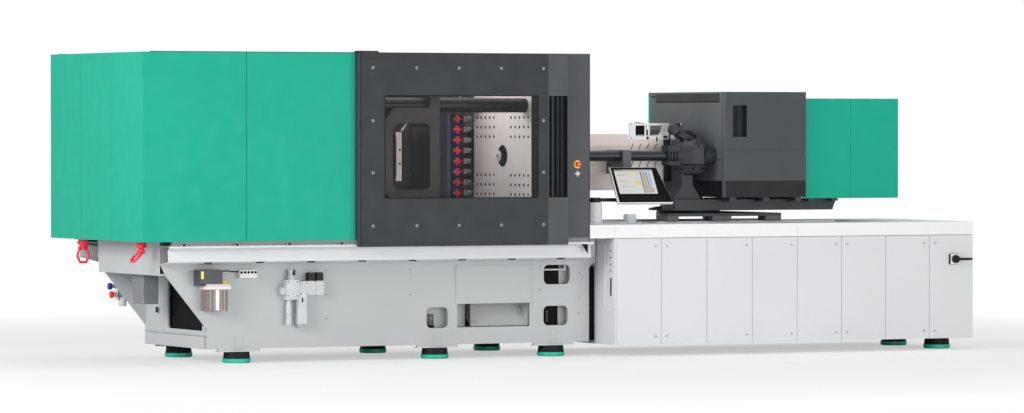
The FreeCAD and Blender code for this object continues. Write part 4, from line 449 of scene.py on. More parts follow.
# sliding gates: screws, and a black seal between sheet and pane
gate = dict(screwRadius=13, screwSink=4.5, rowsZ=(2070, 957), sideRowsZ=(1698, 1331),
            columnsX=(-1610, -1270, -938, -604, -270), paneX=(-1523, -310), paneZ=(1148, 1878), gasket=7)
face = mm3("front_gate")[0].y
for side, label in sides:
    y = -side * face
    bm = bmesh.new()
    spots = [(x, z) for x in gate["columnsX"] for z in gate["rowsZ"]]
    spots += [(x, z) for x in (gate["columnsX"][0], gate["columnsX"][-1]) for z in gate["sideRowsZ"]]
    for x, z in spots:
        addScrew(bm, "y", (x, z), y - side * gate["screwSink"], side, gate["screwRadius"])
    finishPiece(label + "GateScrews", bm, ["screwGrey"], body=label + "_gate_body")
    bm = bmesh.new()
    addFrame(bm, *gate["paneX"], *gate["paneZ"], gate["gasket"], y - side * 0.4, y - side * 4.0)
    finishPiece(label + "GateSeal", bm, ["rubberBlack"], 1.0, body=label + "_gate_body")
print("gates detailed")

# plate round the key switch, and the mark on its key
keySwitch = dict(place=(22, -870.2, 1319), half=23.108, ring=(17, 13.2), arm=(1.5, 5.5))
kx, ky, kz = keySwitch["place"]
half = keySwitch["half"]
outer, inner = keySwitch["ring"]
thin, reach = keySwitch["arm"]
bm = bmesh.new()
addPrism(bm, [(kx + half, kz), (kx, kz + half), (kx - half, kz), (kx, kz - half)], "y", ky, ky - 2.0)
addSkin(bm, "y", (kx, kz), [(ky - 2.2, outer), (ky - 2.2, inner), (ky - 1.0, inner)], 1, 28, False)
for dx, dz in ((1, 0), (-1, 0), (0, 1), (0, -1)):
    cx, cz = kx + reach * dx, kz + reach * dz
    wide, tall = thin + 3.5 * abs(dx), thin + 3.5 * abs(dz)
    addBox(bm, cx - wide, cx + wide, ky - 7.4, ky - 7.0, cz - tall, cz + tall, 1)
finishPiece("keySwitchPlate", bm, ["plasticWhite", "plasticDark"], 1.0)

# rail clips over the ledge and tabs under it

clip = dict(firstX=-3060, pitch=398, count=8, length=58, seatY=871, faceY=877, z=(832, 842), screwInset=10)
tab = dict(firstX=-2860, pitch=392, count=8, length=62, y=(812, 828), z=(714, 706), chamfer=8)
for side, label in sides:
    bm = bmesh.new()
    for k in range(clip["count"]):
        x = clip["firstX"] + clip["pitch"] * k
        addBox(bm, x, x + clip["length"], side * clip["seatY"], side * clip["faceY"], *clip["z"])
        for dx in (clip["screwInset"], clip["length"] - clip["screwInset"]):
            addScrew(bm, "y", (x + dx, sum(clip["z"]) / 2), side * clip["faceY"], side, 5, 1)
    inner, outer = tab["y"]
    top, bottom = tab["z"]
    for k in range(tab["count"]):
        x = tab["firstX"] + tab["pitch"] * k
        end = x + tab["length"]
        outline = [(x, top), (end, top), (end - tab["chamfer"], bottom), (x + tab["chamfer"], bottom)]
        addPrism(bm, outline, "y", side * inner, side * outer)
    finishPiece(label + "LedgeClips", bm, ["blackAndPaintedShade", "brightSteel"], 1.0)

# corner bracket where the column meets the ledge, and the light panel beyond the ledge's end
bracket = [(52, 828), (112, 828), (112, 742)]
bm = bmesh.new()
for side in (-1, 1):
    addPrism(bm, bracket, "y", side * 862, side * 858)
finishPiece("columnBrackets", bm, ["blackAndPaintedShade"], 1.0)
endPanel = dict(x=(150, 318), upper=(578, 712, 849), lower=(590, 708, 712))
bm = bmesh.new()
for outer, z0, z1 in (endPanel["upper"], endPanel["lower"]):
    for side in (-1, 1):
        addBox(bm, *endPanel["x"], side * outer, side * skinY, z0, z1)
finishPiece("ledgeEndPanels", bm, ["lightPaint"], 1.5)
print("ledges detailed")

# base: studs in the side plates, light screws round the cover of the parts opening

stud = dict(plateY=575, radius=4.5,
            spots=((-1160, 610), (-1160, 640), (-1820, 640), (-1820, 470), (-1820, 300), (-1160, 460),
                   (-2050, 520), (190, 600), (190, 420), (180, 310), (-130, 480), (-130, 650)))
bm = bmesh.new()
for x, z in stud["spots"]:
    for side in (-1, 1):
        addScrew(bm, "y", (x, z), side * stud["plateY"], side, stud["radius"])
for side in (-1, 1):
    for x, z in ((-816, 655), (-803, 655), (-816, 637), (-803, 637), (-797, 672), (-188, 655), (-188, 637)):
        addScrew(bm, "y", (x, z), side * stud["plateY"], side, 4, 1)
finishPiece("baseScrews", bm, ["plasticDark", "brightSteel"])

# foot pads with their nuts
foot = dict(centresX=(-2487, -947, -17), half=158, y=(520, 578), z=(78.4, 84), nutY=525, nutTop=100,
            nutRadius=22)
inner, outer = foot["y"]
half = foot["half"]
bm = bmesh.new()
for x in foot["centresX"]:
    for side in (-1, 1):
        addBox(bm, x - half, x + half, side * inner, side * outer, *foot["z"])
        addRod(bm, "z", (x, side * foot["nutY"]), foot["z"][1], foot["nutTop"], foot["nutRadius"], 6, 1)
        # what shows behind the two slots over the foot
        addBox(bm, x - 52, x + 52, side * 550, side * 573.8, 96, 200, 2)
finishPiece("footPads", bm, ["lightPaint", "brightSteel", "basePaint"], 1.0)

# what shows through the windows of the side plates: inner covers with their holes as dark boxes, painted
# shade of the inside, and unions
window = dict(coverY=500, unionY=528,
              covers=((-1012, -790, 190, 384), (60, 178, 500, 680), (52, 160, 200, 384)),
              holes=((-78, 62, 500, 680), (-78, 54, 200, 384)),
              unions=((-990, 276), (-966, 276), (-52, 288)))
for side, label in sides:
    bm = bmesh.new()
    for spots, depth, mat in ((window["covers"], 0, 0), (window["holes"], 10, 1)):
        y = side * (window["coverY"] - depth)
        for x0, x1, z0, z1 in spots:
            addBox(bm, x0, x1, y, y - side * 4, z0, z1, mat)
    for x, z in window["unions"]:
        addLathed(bm, "z", (x, side * window["unionY"]),
                  [(z - 40, 8), (z - 5, 8), (z - 5, 6), (z + 24, 6), (z + 24, 9), (z + 40, 9)], 20, 2)
        addRod(bm, "z", (x, side * window["unionY"]), z - 62, z - 40, 15, 6, 1)
    finishPiece(label + "WindowCovers", bm, ["basePaint", "blackAndPaintedShade", "plasticDark"], 1.0)

# seams round the cover of the parts opening, and a dark plate in the gap between base and cabinet, painted
# shade
bm = bmesh.new()
for side in (-1, 1):
    y0, y1 = side * 574.6, side * 575.6
    addBox(bm, -793, -789.5, y0, y1, 388, 664)
    addBox(bm, -212.5, -209, y0, y1, 388, 672)
    addBox(bm, -789.5, -212.5, y0, y1, 631, 634)
    addBox(bm, 269, 328, side * 540, side * 536, 106, 640)
finishPiece("baseSeamsAndGapShade", bm, ["blackAndPaintedShade"])

# steep bent sheet that leads the parts out of the opening, with the cheek beside it
slide = dict(x=(-672, -216), front=(-546, 226), depth=300, rise=380, steps=14)
x0, x1 = slide["x"]
y0, z0 = slide["front"]
y1, z1 = y0 + slide["depth"], z0 + slide["rise"]
curve = []
for k in range(slide["steps"] + 1):
    share = k / slide["steps"]
    curve.append((y0 + slide["depth"] * share, z0 + slide["rise"] * share ** 1.25))
bm = bmesh.new()
addPrism(bm, curve + [(y + 3.5, z) for y, z in curve[::-1]], "x", x0, x1)
# the slide's side plate and the cheek beside it take dark grey plastic: painted shade, for they lie in the
# opening's shadow
addPrism(bm, curve + [(y1, z0)], "x", x0 - 4, x0, 1)
addBox(bm, x1, x1 + 3, y0, y1, z0, z1)
addPrism(bm, [(y0, z0), (y0, 384), (-360, 560), (-330, 560), (-330, z0)], "x", x0 - 4, x0 - 1, 1)
addBox(bm, -788, x0 - 6, -470, -467, 222, 420)
for y, z in ((-500, 250), (-420, 250), (-470, 300)):
    addScrew(bm, "x", (y, z), x0 - 4, -1, 6, 2)
finishPiece("partsSlide", bm, ["basePaint", "plasticDark", "blackAndPaintedShade"])

# sloped end: slotted upright whose slots are dark marks of painted shade, folded lower panel, box lid, and a
# dark plate inside the opening as painted shade of the base's inside
bm = bmesh.new()
addBox(bm, -2742, -2728, -545, -512, 225, 610)
for k in range(5):
    addBox(bm, -2743.5, -2742, -536, -522, 262 + 66 * k, 290 + 66 * k, 1)
addPrism(bm, [(-2742, 100), (-2728, 100), (-2728, 188), (-2736, 188), (-2742, 182)], "y", -540, 540)
addBox(bm, -2746, -2742, 300, 330, 330, 370, 1)
addBox(bm, -2700, -2696, -548, 160, 215, 606, 3)
for y in (-90, 106):
    for z in (420, 600):
        addScrew(bm, "x", (y, z), -3010, -1, 5, 2)
finishPiece("slopedEndTrim", bm, ["basePaint", "blackAndPaintedShade", "brightSteel", "paintedShadeSheet"],
            1.5)
print("base detailed")

# cabinet side: upright cover with four holes and a slot, rounded at its top; the holes and slot are dark
# discs and a dark box, painted shade of the openings

sideCover = dict(x=329, y=(-869, -726), z=(330, 848), bend=46, thick=9)
y0, y1 = sideCover["y"]
z0, z1 = sideCover["z"]
bend = sideCover["bend"]
inner = sideCover["x"] - sideCover["thick"]
outline = [(y0, z0 + 26), (y0 + 30, z0), (y1, z0 + 30), (y1, z1 - bend)]
for k in range(1, 7):
    turn = math.pi / 2 * k / 6
    outline.append((y1 - bend * (1 - math.cos(turn)), z1 - bend * (1 - math.sin(turn))))
outline.append((y0, z1))
bm = bmesh.new()
addPrism(bm, outline, "x", inner, sideCover["x"] - 0.3)
for z in (760, 712, 664, 616):
    addRod(bm, "x", (-815, z), inner - 0.4, inner + 2, 9, 20, 1)
addBox(bm, inner - 0.4, inner + 2, -830, -806, 436, 566, 1)
addBox(bm, inner - 3, sideCover["x"] - 1, y1 - 3, y1 + 3, z0 + 30, z1 - bend, 2)
finishPiece("cabinetSideCover", bm, ["lightPaint", "blackAndPaintedShade", "plasticWhite"], 1.5)

# door locks: turned insert with its slot, on the side away from the hinge, flush enough for open doors
lock = dict(radius=11, edge=46, end=58, rim=14)
hingeX = {}
for joint in frame["joints"]:
    if joint["name"].startswith("door_"):
        hingeX[joint["name"].split("_")[1]] = joint["pos_m"][0] / mm
for number, pivot in hingeX.items():
    low, high = mm3("cabinet_door_" + number)
    lockX = high.x - lock["edge"] if abs(pivot - low.x) < abs(pivot - high.x) else low.x + lock["edge"]
    bm = bmesh.new()
    for z in (low.z + lock["end"], high.z - lock["end"]):
        face = low.y
        addTurned(bm, "y", (lockX, z), [(face + 1.2, lock["rim"]), (face - 0.2, lock["rim"]),
                                        (face - 0.4, lock["rim"] - 1), (face - 0.4, lock["radius"] - 1),
                                        (face - 0.2, lock["radius"] - 2), (face - 0.2, 0)], 28)
        addBox(bm, lockX - 8, lockX + 8, face - 0.4, face - 0.1, z - 1.6, z + 1.6, 1)
    finishPiece("doorLocks_" + number, bm, ["plasticGrey", "blackAndPaintedShade"],
                body="door_%s_body" % number)
print("cabinet detailed")

# main switch: black base with a white face plate

mainSwitch = dict(corner=8, plateThick=3, plateInset=2)
low, high = mm3("main_switch_plate")


def roundedOutline(x0, x1, z0, z1, radius, steps=5):
    outline = []
    for cx, cz, start in ((x1 - radius, z1 - radius, 0), (x0 + radius, z1 - radius, 90),
                          (x0 + radius, z0 + radius, 180), (x1 - radius, z0 + radius, 270)):
        for k in range(steps + 1):
            turn = math.radians(start + 90 * k / steps)
            outline.append((cx + radius * math.cos(turn), cz + radius * math.sin(turn)))
    return outline


bm = bmesh.new()
corner, inset = mainSwitch["corner"], mainSwitch["plateInset"]
seam = low.y + mainSwitch["plateThick"]
addPrism(bm, roundedOutline(low.x, high.x, low.z, high.z, corner), "y", high.y, seam)
plate = roundedOutline(low.x + inset, high.x - inset, low.z + inset, high.z - inset, corner - inset)
addPrism(bm, plate, "y", seam, low.y, 1)
finishPiece("mainSwitchHousing", bm, ["plasticBlack", "plasticWhite"], 0.8,
            ["main_switch_plate"], body="door_8_body")

# water distributor: blue body, red hand valves with four-lobed knobs, hose tails

water = dict(count=8, x=(-308, -200), y=(540, 600), valveX=-274, portY=566, portEnd=-131,
             stayX=(-240, -120), stayZ=(1242, 1642), knobRadius=29, armHalf=8)
left, right = water["x"]
front, back = water["y"]
valveX, portY, end = water["valveX"], water["portY"], water["portEnd"]
a, b = water["armHalf"], water["knobRadius"] * 0.96
lobes = ((b, a), (a, a), (a, b), (-a, b), (-a, a), (-b, a), (-b, -a), (-a, -a), (-a, -b), (a, -b), (a, -a),
         (b, -a))
low, high = mm3("water_manifold")
pitch = (high.z - low.z) / water["count"]
bm = bmesh.new()
addBox(bm, left, right, front, back, low.z, high.z)
addBox(bm, *water["stayX"], 600, 608, *water["stayZ"], 3)
addBox(bm, water["stayX"][1] - 8, water["stayX"][1], 470, 608, *water["stayZ"], 3)
for k in range(water["count"]):
    z = low.z + pitch * (k + 0.5)
    addTurned(bm, "y", (valveX, z), [(front + 1, 13), (506, 13), (506, 17), (500, 17), (500, 0)], 24, 2)
    addPrism(bm, [(valveX + p, z + q) for p, q in lobes], "y", 480, 504, 1)
    addBox(bm, right - 1, end - 34, portY - 18, portY + 16, z - 20, z + 20, 4)
    addTurned(bm, "x", (portY, z), [(right - 1, 14), (end - 24, 14), (end - 24, 18), (end - 6, 18), (end, 14),
                                    (end, 0)], 20, 4)
finishPiece("waterDistributor", bm, ["manifoldBlue", "valveRed", "plasticDark", "darkSteel", "unionGrey"],
            1.2, ["water_manifold"])
print("clamping side detailed")

# moving platen: bent rail in the side pocket, its holes as dark discs and a dark sheet behind it in its slot,
# both painted shade

rail = dict(x=(-1186, -1143), z=(1267, 1618), y=-392, flare=6, slot=(-1226, -1128), slotEnd=8)
x0, x1 = rail["x"]
z0, z1 = rail["z"]
middle = (x0 + x1) / 2
bent = x0 - rail["flare"]
outline = [(bent, z0), (x1, z0), (x1, z1), (bent, z1), (bent, z1 - 14), (x0, z1 - 34), (x0, z0 + 34),
           (bent, z0 + 14)]
for side, label in ((1, "front"), (-1, "rear")):
    y = side * rail["y"]
    bm = bmesh.new()
    addPrism(bm, outline, "y", y, y + side * 4)
    addBox(bm, *rail["slot"], y + side * 6, y + side * 10, z0 - rail["slotEnd"], z1 + rail["slotEnd"], 3)
    for z in (1392, 1490):
        addRod(bm, "y", (middle + 6, z), y - side * 0.6, y + side, 9, 20, 1)
    for z in (1300, 1585):
        addTurned(bm, "y", (middle, z), [(y + side * 4, 10), (side * -172, 10)], 16, 2)
    finishPiece(label + "PocketRail", bm, ["railSheet", "blackAndPaintedShade", "darkSteel", "paintedShadeSheet"],
                1.0, body="clamp_slide_body")

# drilled holes of the two platens, and the bright face of the nozzle; holes and bore have dark linings,
# painted shade
drill = dict(pitch=70, bore=7.8, rim=11.5, depth=26, fixedX=-147, movingX=-879, axisZ=1442)
holes = {"fixed": ([2, 3, 4, 5, 6], [-4, -3, -2, 2, 3, 4], drill["fixedX"], 1, "machine_body"),
         "moving": ([2, 4, 6], [-4, -2, 2, 4], drill["movingX"], -1, "clamp_slide_body")}
for label, (columns, rows, face, way, body) in holes.items():
    bm = bmesh.new()
    for column in columns:
        for row in rows:
            for side in (-1, 1):
                spot = (side * column * drill["pitch"], drill["axisZ"] + row * drill["pitch"])
                addBlindHole(bm, "x", spot, face - way * 0.3, face + way * drill["depth"], drill["bore"],
                             drill["rim"])
    finishPiece(label + "PlatenHoles", bm, ["blackAndPaintedShade"], body=body)
nozzle = dict(face=-187.4, hole=11.5, tip=16.4, shoulder=(-176.8, 41.4), bore=8.8, depth=60)
axis = (0, drill["axisZ"])
face, hole, bore = nozzle["face"], nozzle["hole"], nozzle["bore"]
bm = bmesh.new()
addSkin(bm, "x", axis, [nozzle["shoulder"], (face, nozzle["tip"]), (face, hole)], 0, 48, False)
addSkin(bm, "x", axis, [(face, hole), (face + 0.2, bore), (face + nozzle["depth"], bore)], 1, 48)
finishPiece("nozzleFace", bm, ["nozzleSteel", "blackAndPaintedShade"], body="unit_body")

# lubricating unit, distributor block

frontY = -685
bm = bmesh.new()
addBox(bm, -2833, -2660, frontY, -skinY, 561, 656)
addBox(bm, -2833, -2800, frontY + 30, -skinY, 545, 561)
addBox(bm, -2824, -2803, frontY - 1.5, frontY, 596, 648, 1)
addBox(bm, -2790, -2600, -695, -skinY, 521, 545, 2)
addBox(bm, -2782, -2608, -688, -580, 545, 559, 3)
addLathed(bm, "z", (-2640, -640), [(545, 20), (560, 20), (566, 16), (581, 15)], 28, 1)
addTurned(bm, "x", (-640, 572), [(-2640, 11), (-2612, 11), (-2612, 0)], 20, 1)
finishPiece("lubePump", bm, ["plasticDark", "signalYellow", "guardSheet", "plasticGrey"],
            2.0, ["lube_unit"])
low, high = mm3("lube_tank")
tank = dict(x1=-2616, ribs=5, ribDepth=5, chamfer=16)
chamfer = tank["chamfer"]
groove = low.y + tank["ribDepth"]
outline = [(low.x, high.y), (low.x, low.y + chamfer), (low.x + chamfer, groove)]
span = (tank["x1"] - low.x - 2 * chamfer) / tank["ribs"]
for k in range(tank["ribs"]):
    x = low.x + chamfer + span * k
    outline += [(x + span * 0.2, low.y), (x + span * 0.8, low.y), (x + span, groove)]
outline += [(tank["x1"], low.y + chamfer), (tank["x1"], high.y)]
bm = bmesh.new()
addPrism(bm, outline, "z", low.z, high.z)
finishPiece("lubeTank", bm, ["tankSmoke"], 1.0, ["lube_tank"])
bm = bmesh.new()
addBox(bm, -2714, -2686, low.y - 0.8, low.y - 0.2, 376, 519)
finishPiece("tankGauge", bm, ["plasticWhite"], 0.3)

low, high = mm3("oil_distributor")
bm = bmesh.new()
addBox(bm, low.x, high.x, low.y + 9, high.y - 0.2, low.z, high.z)
portPitch = (high.x - low.x) / 5
for k in range(5):
    x = low.x + portPitch * (k + 0.5)
    for z in (high.z - 16, low.z + 15):
        addTurned(bm, "y", (x, z), [(low.y + 9, 9), (low.y + 2, 9), (low.y + 2, 6), (low.y + 5, 5.5),
                                    (low.y + 5, 0)], 18, 1 if z > low.z + 20 else 0)
finishPiece("oilBlock", bm, ["plasticWhite", "blackAndPaintedShade"], 1.0, ["oil_distributor"])
addPipe("oilFeed", [(low.x + 2, -600, 640), (low.x - 40, -600, 641), (low.x - 90, -604, 648),
                    (low.x - 126, -606, 645)], 4, "blackAndPaintedShade", "machine_body")

# compressed air unit

low, high = mm3("air_unit")
x, fy, by = low.x, low.y, -skinY
middle = (fy + by) / 2
bm = bmesh.new()
addBox(bm, x + 35, x + 132, fy, by, 455, 581)
addBox(bm, x + 28, x + 140, fy + 8, by, 440, 456)
addLathed(bm, "x", (middle, 500), [(x, 26), (x + 8, 30), (x + 36, 30)], 8)
addLathed(bm, "z", (x + 84, middle),
          [(581, 24), (604, 24), (604, 19), (626, 19), (630, 24), (650, 24), (652, 20)], 32)
addBox(bm, x + 88, x + 104, fy + 6, fy + 18, 612, 650, 1)
addLathed(bm, "z", (x + 66, middle),
          [(262, 16), (272, 22), (300, 22), (302, 19), (340, 19), (342, 22), (400, 22), (412, 15),
           (456, 15)], 32)
addBox(bm, x + 132, x + 205, fy + 6, by, 470, 568)
addBox(bm, x + 126, x + 192, fy + 4, by - 4, 268, 470)
addBox(bm, x + 153, x + 163, fy + 2, fy + 5, 420, 452, 1)
addLathed(bm, "z", (x + 152, middle), [(243, 8), (252, 14), (268, 26)], 24)
addRod(bm, "z", (x + 152, middle), 240, 244, 6, 16, 1)
for k in range(2):
    x0 = x + 209 + 62 * k
    addPrism(bm, [(x0 - 4, 476), (x0 + 4, 470), (x0 + 46, 470), (x0 + 56, 480), (x0 + 56, 558),
                  (x0 + 44, 570), (x0 - 4, 570)], "y", fy + 10, by)
    addBox(bm, x0 + 3, x0 + 53, fy + 16, by - 6, 571, 628, 1)
for dx, dz in ((50, 468), (118, 468), (50, 566), (118, 566), (145, 482), (192, 482), (145, 556), (192, 556)):
    addScrew(bm, "y", (x + dx, dz), fy + (0 if dx < 130 else 6), -1, 4, 2)
finishPiece("airPreparation", bm, ["plasticGrey", "plasticBlack", "blackAndPaintedShade"], 1.6,
            ["air_unit"])

# cooling water inlet at the rear: upright pipe with two fluted hand wheels

vx, vy = -2925, 610
bm = bmesh.new()
addRod(bm, "z", (vx, vy), 412, 529, 17, 28)
addBox(bm, vx - 17, vx + 150, skinY, 636, 436, 468)
for z, reach, mat in ((512, 46, 1), (452, 32, 2)):
    addRod(bm, "x", (vy, z), vx - reach, vx - 8, 14, 20)
    knob = []
    for m in range(16):
        radius = 25 - 4 * (m % 2)
        turn = math.pi * m / 8
        knob.append((vy + radius * math.cos(turn), z + radius * math.sin(turn)))
    addPrism(bm, knob, "x", vx - reach - 24, vx - reach, mat)
addLathed(bm, "z", (vx + 40, vy), [(368, 22), (374, 28), (452, 28)], 28, 3)
finishPiece("waterInlet", bm, ["brightSteel", "valveBlue", "valveRed", "plasticGrey"], 1.0,
            ["water_valves"])
print("service units detailed")

# control panel, built in its own tilted plane

panel = dict(left=358, bottomY=-872, bottomZ=1106, topRight=742, bottomRight=802, rise=258, lean=150,
             thick=24, bezelLeft=46, bezelTop=26, bezelBottom=76, bezelRight=70, rim=5)
slope = math.hypot(panel["rise"], panel["lean"])
upWay = Vector((0, panel["lean"] / slope, panel["rise"] / slope))
inWay = Vector((0, panel["rise"] / slope, -panel["lean"] / slope))


def panelSpot(u, v, w):
    # u to the right, v up the face, w into the panel
    return (Vector((panel["left"] + u, panel["bottomY"], panel["bottomZ"])) + upWay * v + inWay * w) * mm


def addSlab(bm, outline, w0, w1, mat=0):
    front = [bm.verts.new(panelSpot(u, v, w0)) for u, v in outline]
    back = [bm.verts.new(panelSpot(u, v, w1)) for u, v in outline]
    count = len(outline)
    faces = [bm.faces.new(front), bm.faces.new(back[::-1])]
    faces += [bm.faces.new((front[i], back[i], back[(i + 1) % count], front[(i + 1) % count]))
              for i in range(count)]
    for face in faces:
        face.material_index = mat


def rectangle(u0, u1, v0, v1):
    return [(u0, v0), (u1, v0), (u1, v1), (u0, v1)]


def screenGlow(name, colour, strength):
    # lit picture element with faint cell structure
    net = Net(name)
    cells = net.spread(net.noise(700.0, 1.0), 0.92, 1.0)
    tone = net.mixed(cells, shade(colour, 0.9), colour)
    net.finish(Base_Color=tone, Emission_Color=tone, Emission_Strength=strength, Roughness=0.25)


screenColours = dict(screenWhite="C9CAC7", screenGrey="A3A6A6", screenYellow="D6C238", screenBlue="4A7CA6",
                     screenOrange="BE9468", screenLilac="9DB0D0")
for name, code in screenColours.items():
    screenGlow(name, srgb(code), 0.04)
wide = panel["bottomRight"] - panel["left"]
topWide = panel["topRight"] - panel["left"]
full = [(0, 0), (wide, 0), (topWide, slope), (0, slope)]
rim = panel["rim"]
bm = bmesh.new()
addSlab(bm, full, 6, panel["thick"])
addSlab(bm, [(rim, rim), (wide - rim, rim), (topWide - rim, slope - rim), (rim, slope - rim)], 0.5, 6, 1)
addSlab(bm, [(0, 0), (rim, 0), (rim, slope), (0, slope)], 0, 6, 2)
addSlab(bm, [(0, 0), (wide, 0), (wide - 1, rim), (rim, rim)], 0, 6, 2)
screenLeft = panel["bezelLeft"] - 18
screenRight = topWide - panel["bezelRight"] + 24
screenLow = panel["bezelBottom"]
screenHigh = slope - panel["bezelTop"] + 4
addSlab(bm, rectangle(screenLeft, screenRight, screenLow, screenHigh), 0.2, 0.5, 3)
spanU = screenRight - screenLeft
spanV = screenHigh - screenLow


def onScreen(u0, u1, v0, v1):
    return rectangle(screenLeft + spanU * u0, screenLeft + spanU * u1, screenLow + spanV * v0,
                     screenLow + spanV * v1)


# picture elements as shares of the screen, with the place of their colour
tiles = [(0.0, 1.0, 0.93, 1.0, 4), (0.02, 0.22, 0.935, 0.995, 5), (0.25, 0.62, 0.82, 0.85, 5),
         (0.04, 0.24, 0.76, 0.79, 7), (0.06, 0.5, 0.30, 0.32, 4), (0.06, 0.34, 0.5, 0.52, 4),
         (0.48, 0.64, 0.38, 0.5, 5), (0.1, 0.4, 0.12, 0.14, 8), (0.66, 0.7, 0.03, 0.92, 6),
         (0.72, 0.79, 0.05, 0.9, 7), (0.81, 0.84, 0.03, 0.92, 6), (0.86, 0.93, 0.3, 0.9, 8),
         (0.86, 0.93, 0.05, 0.26, 7)]
for u0, u1, v0, v1, mat in tiles:
    addSlab(bm, onScreen(u0, u1, v0, v1), 0.0, 0.2, mat)
# two rows of keys under the screen
panelKeys = dict(count=16, first=40, pitch=22, width=15, rows=((22, 34), (42, 54)))
for k in range(panelKeys["count"]):
    u = panelKeys["first"] + panelKeys["pitch"] * k
    for v0, v1 in panelKeys["rows"]:
        addSlab(bm, rectangle(u, u + panelKeys["width"], v0, v1), 0.1, 0.5, 9)
# lug behind the panel, which the arm holds
addBox(bm, 448.3, 617, -790, -718, 1194, 1238)
finishPiece("operatorPanel", bm, ["plasticGrey", "bezelBlack", "plasticWhite", "screenWhite", "screenGrey",
                                  "screenYellow", "screenBlue", "screenOrange", "screenLilac", "keyField"],
            0.0, ["control_panel"], body="panel_body")
print("operator's panel detailed")

# deck: post cap, and a low ramp before the stop

bm = bmesh.new()
addLathed(bm, "z", (227, -740), [(951, 72), (960, 72), (966, 58)], 36)
addPrism(bm, [(560, 950.2), (640, 950.2), (640, 966)], "y", -468, -402)
addBox(bm, 712.4, 760, -468, -440, 950.2, 958)
finishPiece("deckFittings", bm, ["lightPaint"], 1.5)

# injection unit: clamp collars, bolts, hatch, guard arm

head = dict(x=1200, y=400, z=1442, half=(117, 123), corner=76, clampX=(985, 1083), clampHalf=56,
            blockZ=(1472, 1517), lowBlockZ=(1374, 1402), lidZ=1550, flangeX=1318)


def headRing(side, share, grow):
    # outline of the upright eight-sided head at one height
    a, b = (half * share + grow for half in head["half"])
    c = head["corner"] * share
    spots = [(a, b - c), (a - c, b), (c - a, b), (-a, b - c)]
    spots += [(-p, -q) for p, q in spots]
    return [(head["x"] + p, side * head["y"] + q) for p, q in spots]


for side, label in sides:
    y = side * head["y"]
    face = side * (head["y"] + head["clampHalf"])
    bm = bmesh.new()
    # groove above the tapered foot of the head, and its lower ring, both dark bands of painted shade
    addPrism(bm, headRing(side, 1.0, 0.6), "z", 1374, 1382, 2)
    addPrism(bm, headRing(side, 0.7, 3.0), "z", 1303, 1312, 2)
    for p, q in headRing(side, 0.86, 0.0):
        addRod(bm, "z", (p, q), 1340, 1350, 9, 16, 2)
    # rounded end of the cylinder flange behind the head
    x = head["flangeX"]
    addLathed(bm, "x", (y, head["z"]), [(x, 70), (x + 6, 77), (x + 14, 77), (x + 20, 70)], 48)
    # clamp: collar round the rod, and screws through its two blocks
    for k in range(3):
        x = head["clampX"][0] + 10 + 26 * k
        addTurned(bm, "x", (y, head["z"]), [(x, 60), (x + 2, 66), (x + 10, 66), (x + 12, 60)], 40, 2)
    addLathed(bm, "y", (1020, head["z"] + 18),
              [(face * 0.94, 13), (face * 0.98, 13), (face * 0.98, 8), (face * 0.96, 8)], 24, 2)
    spots = [(1000, 1504, 12, 8), (1072, 1502, 12, 8)]
    spots += [(1024, 1506, 12, 4), (1040, 1504, 12, 4), (1054, 1506, 12, 4)]
    spots += [(996 + 19 * k, 1481, 8, 3) for k in range(5)]
    spots += [(994 + 20 * k, 1389, 8, 5) for k in range(5)]
    for x, z, depth, radius in spots:
        addBlindHole(bm, "y", (x, z), face + side * 0.3, face - side * depth, radius, radius + 1.5, 2)
    for z in (head["lowBlockZ"][0] - 2, head["blockZ"][0] - 3):
        addBox(bm, *head["clampX"], face, face - side * 30, z, z + 3)
    # bolts round the lid and on the tapered foot
    for p, q in headRing(side, 0.5, -12.0):
        addScrew(bm, "z", (p, q), head["lidZ"], 1, 6, 1)
    for x, z in ((1168, 1362), (1214, 1356), (1198, 1322)):
        addScrew(bm, "y", (x, z), side * (head["y"] + (118 if z > 1340 else 96)), side, 5, 2)
    finishPiece(label + "TraverseHead", bm, ["yokePaint", "screwGrey", "blackAndPaintedShade"], 1.0,
                body="unit_body")

# guard hinge: round end, plate with two bolts, and the bent arm that is bolted to the head
arm = dict(hub=(1096, 1636), hubRadius=42, plateX=(1130, 1153), plateZ=(1600, 1684), armY=(-385, -340),
           foot=(1184, 1264), footTop=1570, seat=1550.4)
radius, seat, top = arm["hubRadius"], arm["seat"], arm["footTop"]
bm = bmesh.new()
addLathed(bm, "y", arm["hub"], [(-352, 34), (-345, radius), (-306, radius), (-300, 36)], 40)
addBox(bm, *arm["plateX"], -356, -290, *arm["plateZ"])
for z in (1610, 1676):
    addScrew(bm, "y", (sum(arm["plateX"]) / 2, z), -356, -1, 6, 1)
addPrism(bm, [(1100, 1592), (1140, 1616), (1159, 1612), (1195, 1594), (1222, 1577), (1262, top - 8),
              (1262, seat), (1186, seat), (1167, 1553), (1150, 1560), (1132, 1577)], "y", *arm["armY"])
addPrism(bm, [(1178, 1556), (1196, 1552), (1206, 1508), (1200, 1500)], "y", -530, -522)
addBox(bm, *arm["foot"], -440, -385, seat, top)
for x in (1206, 1236):
    addBlindHole(bm, "y", (x, 1560), -440.4, -420, 7, 8, 2)
finishPiece("guardArm", bm, ["yokePaint", "brightSteel", "blackAndPaintedShade"], 2.0, body="unit_body")

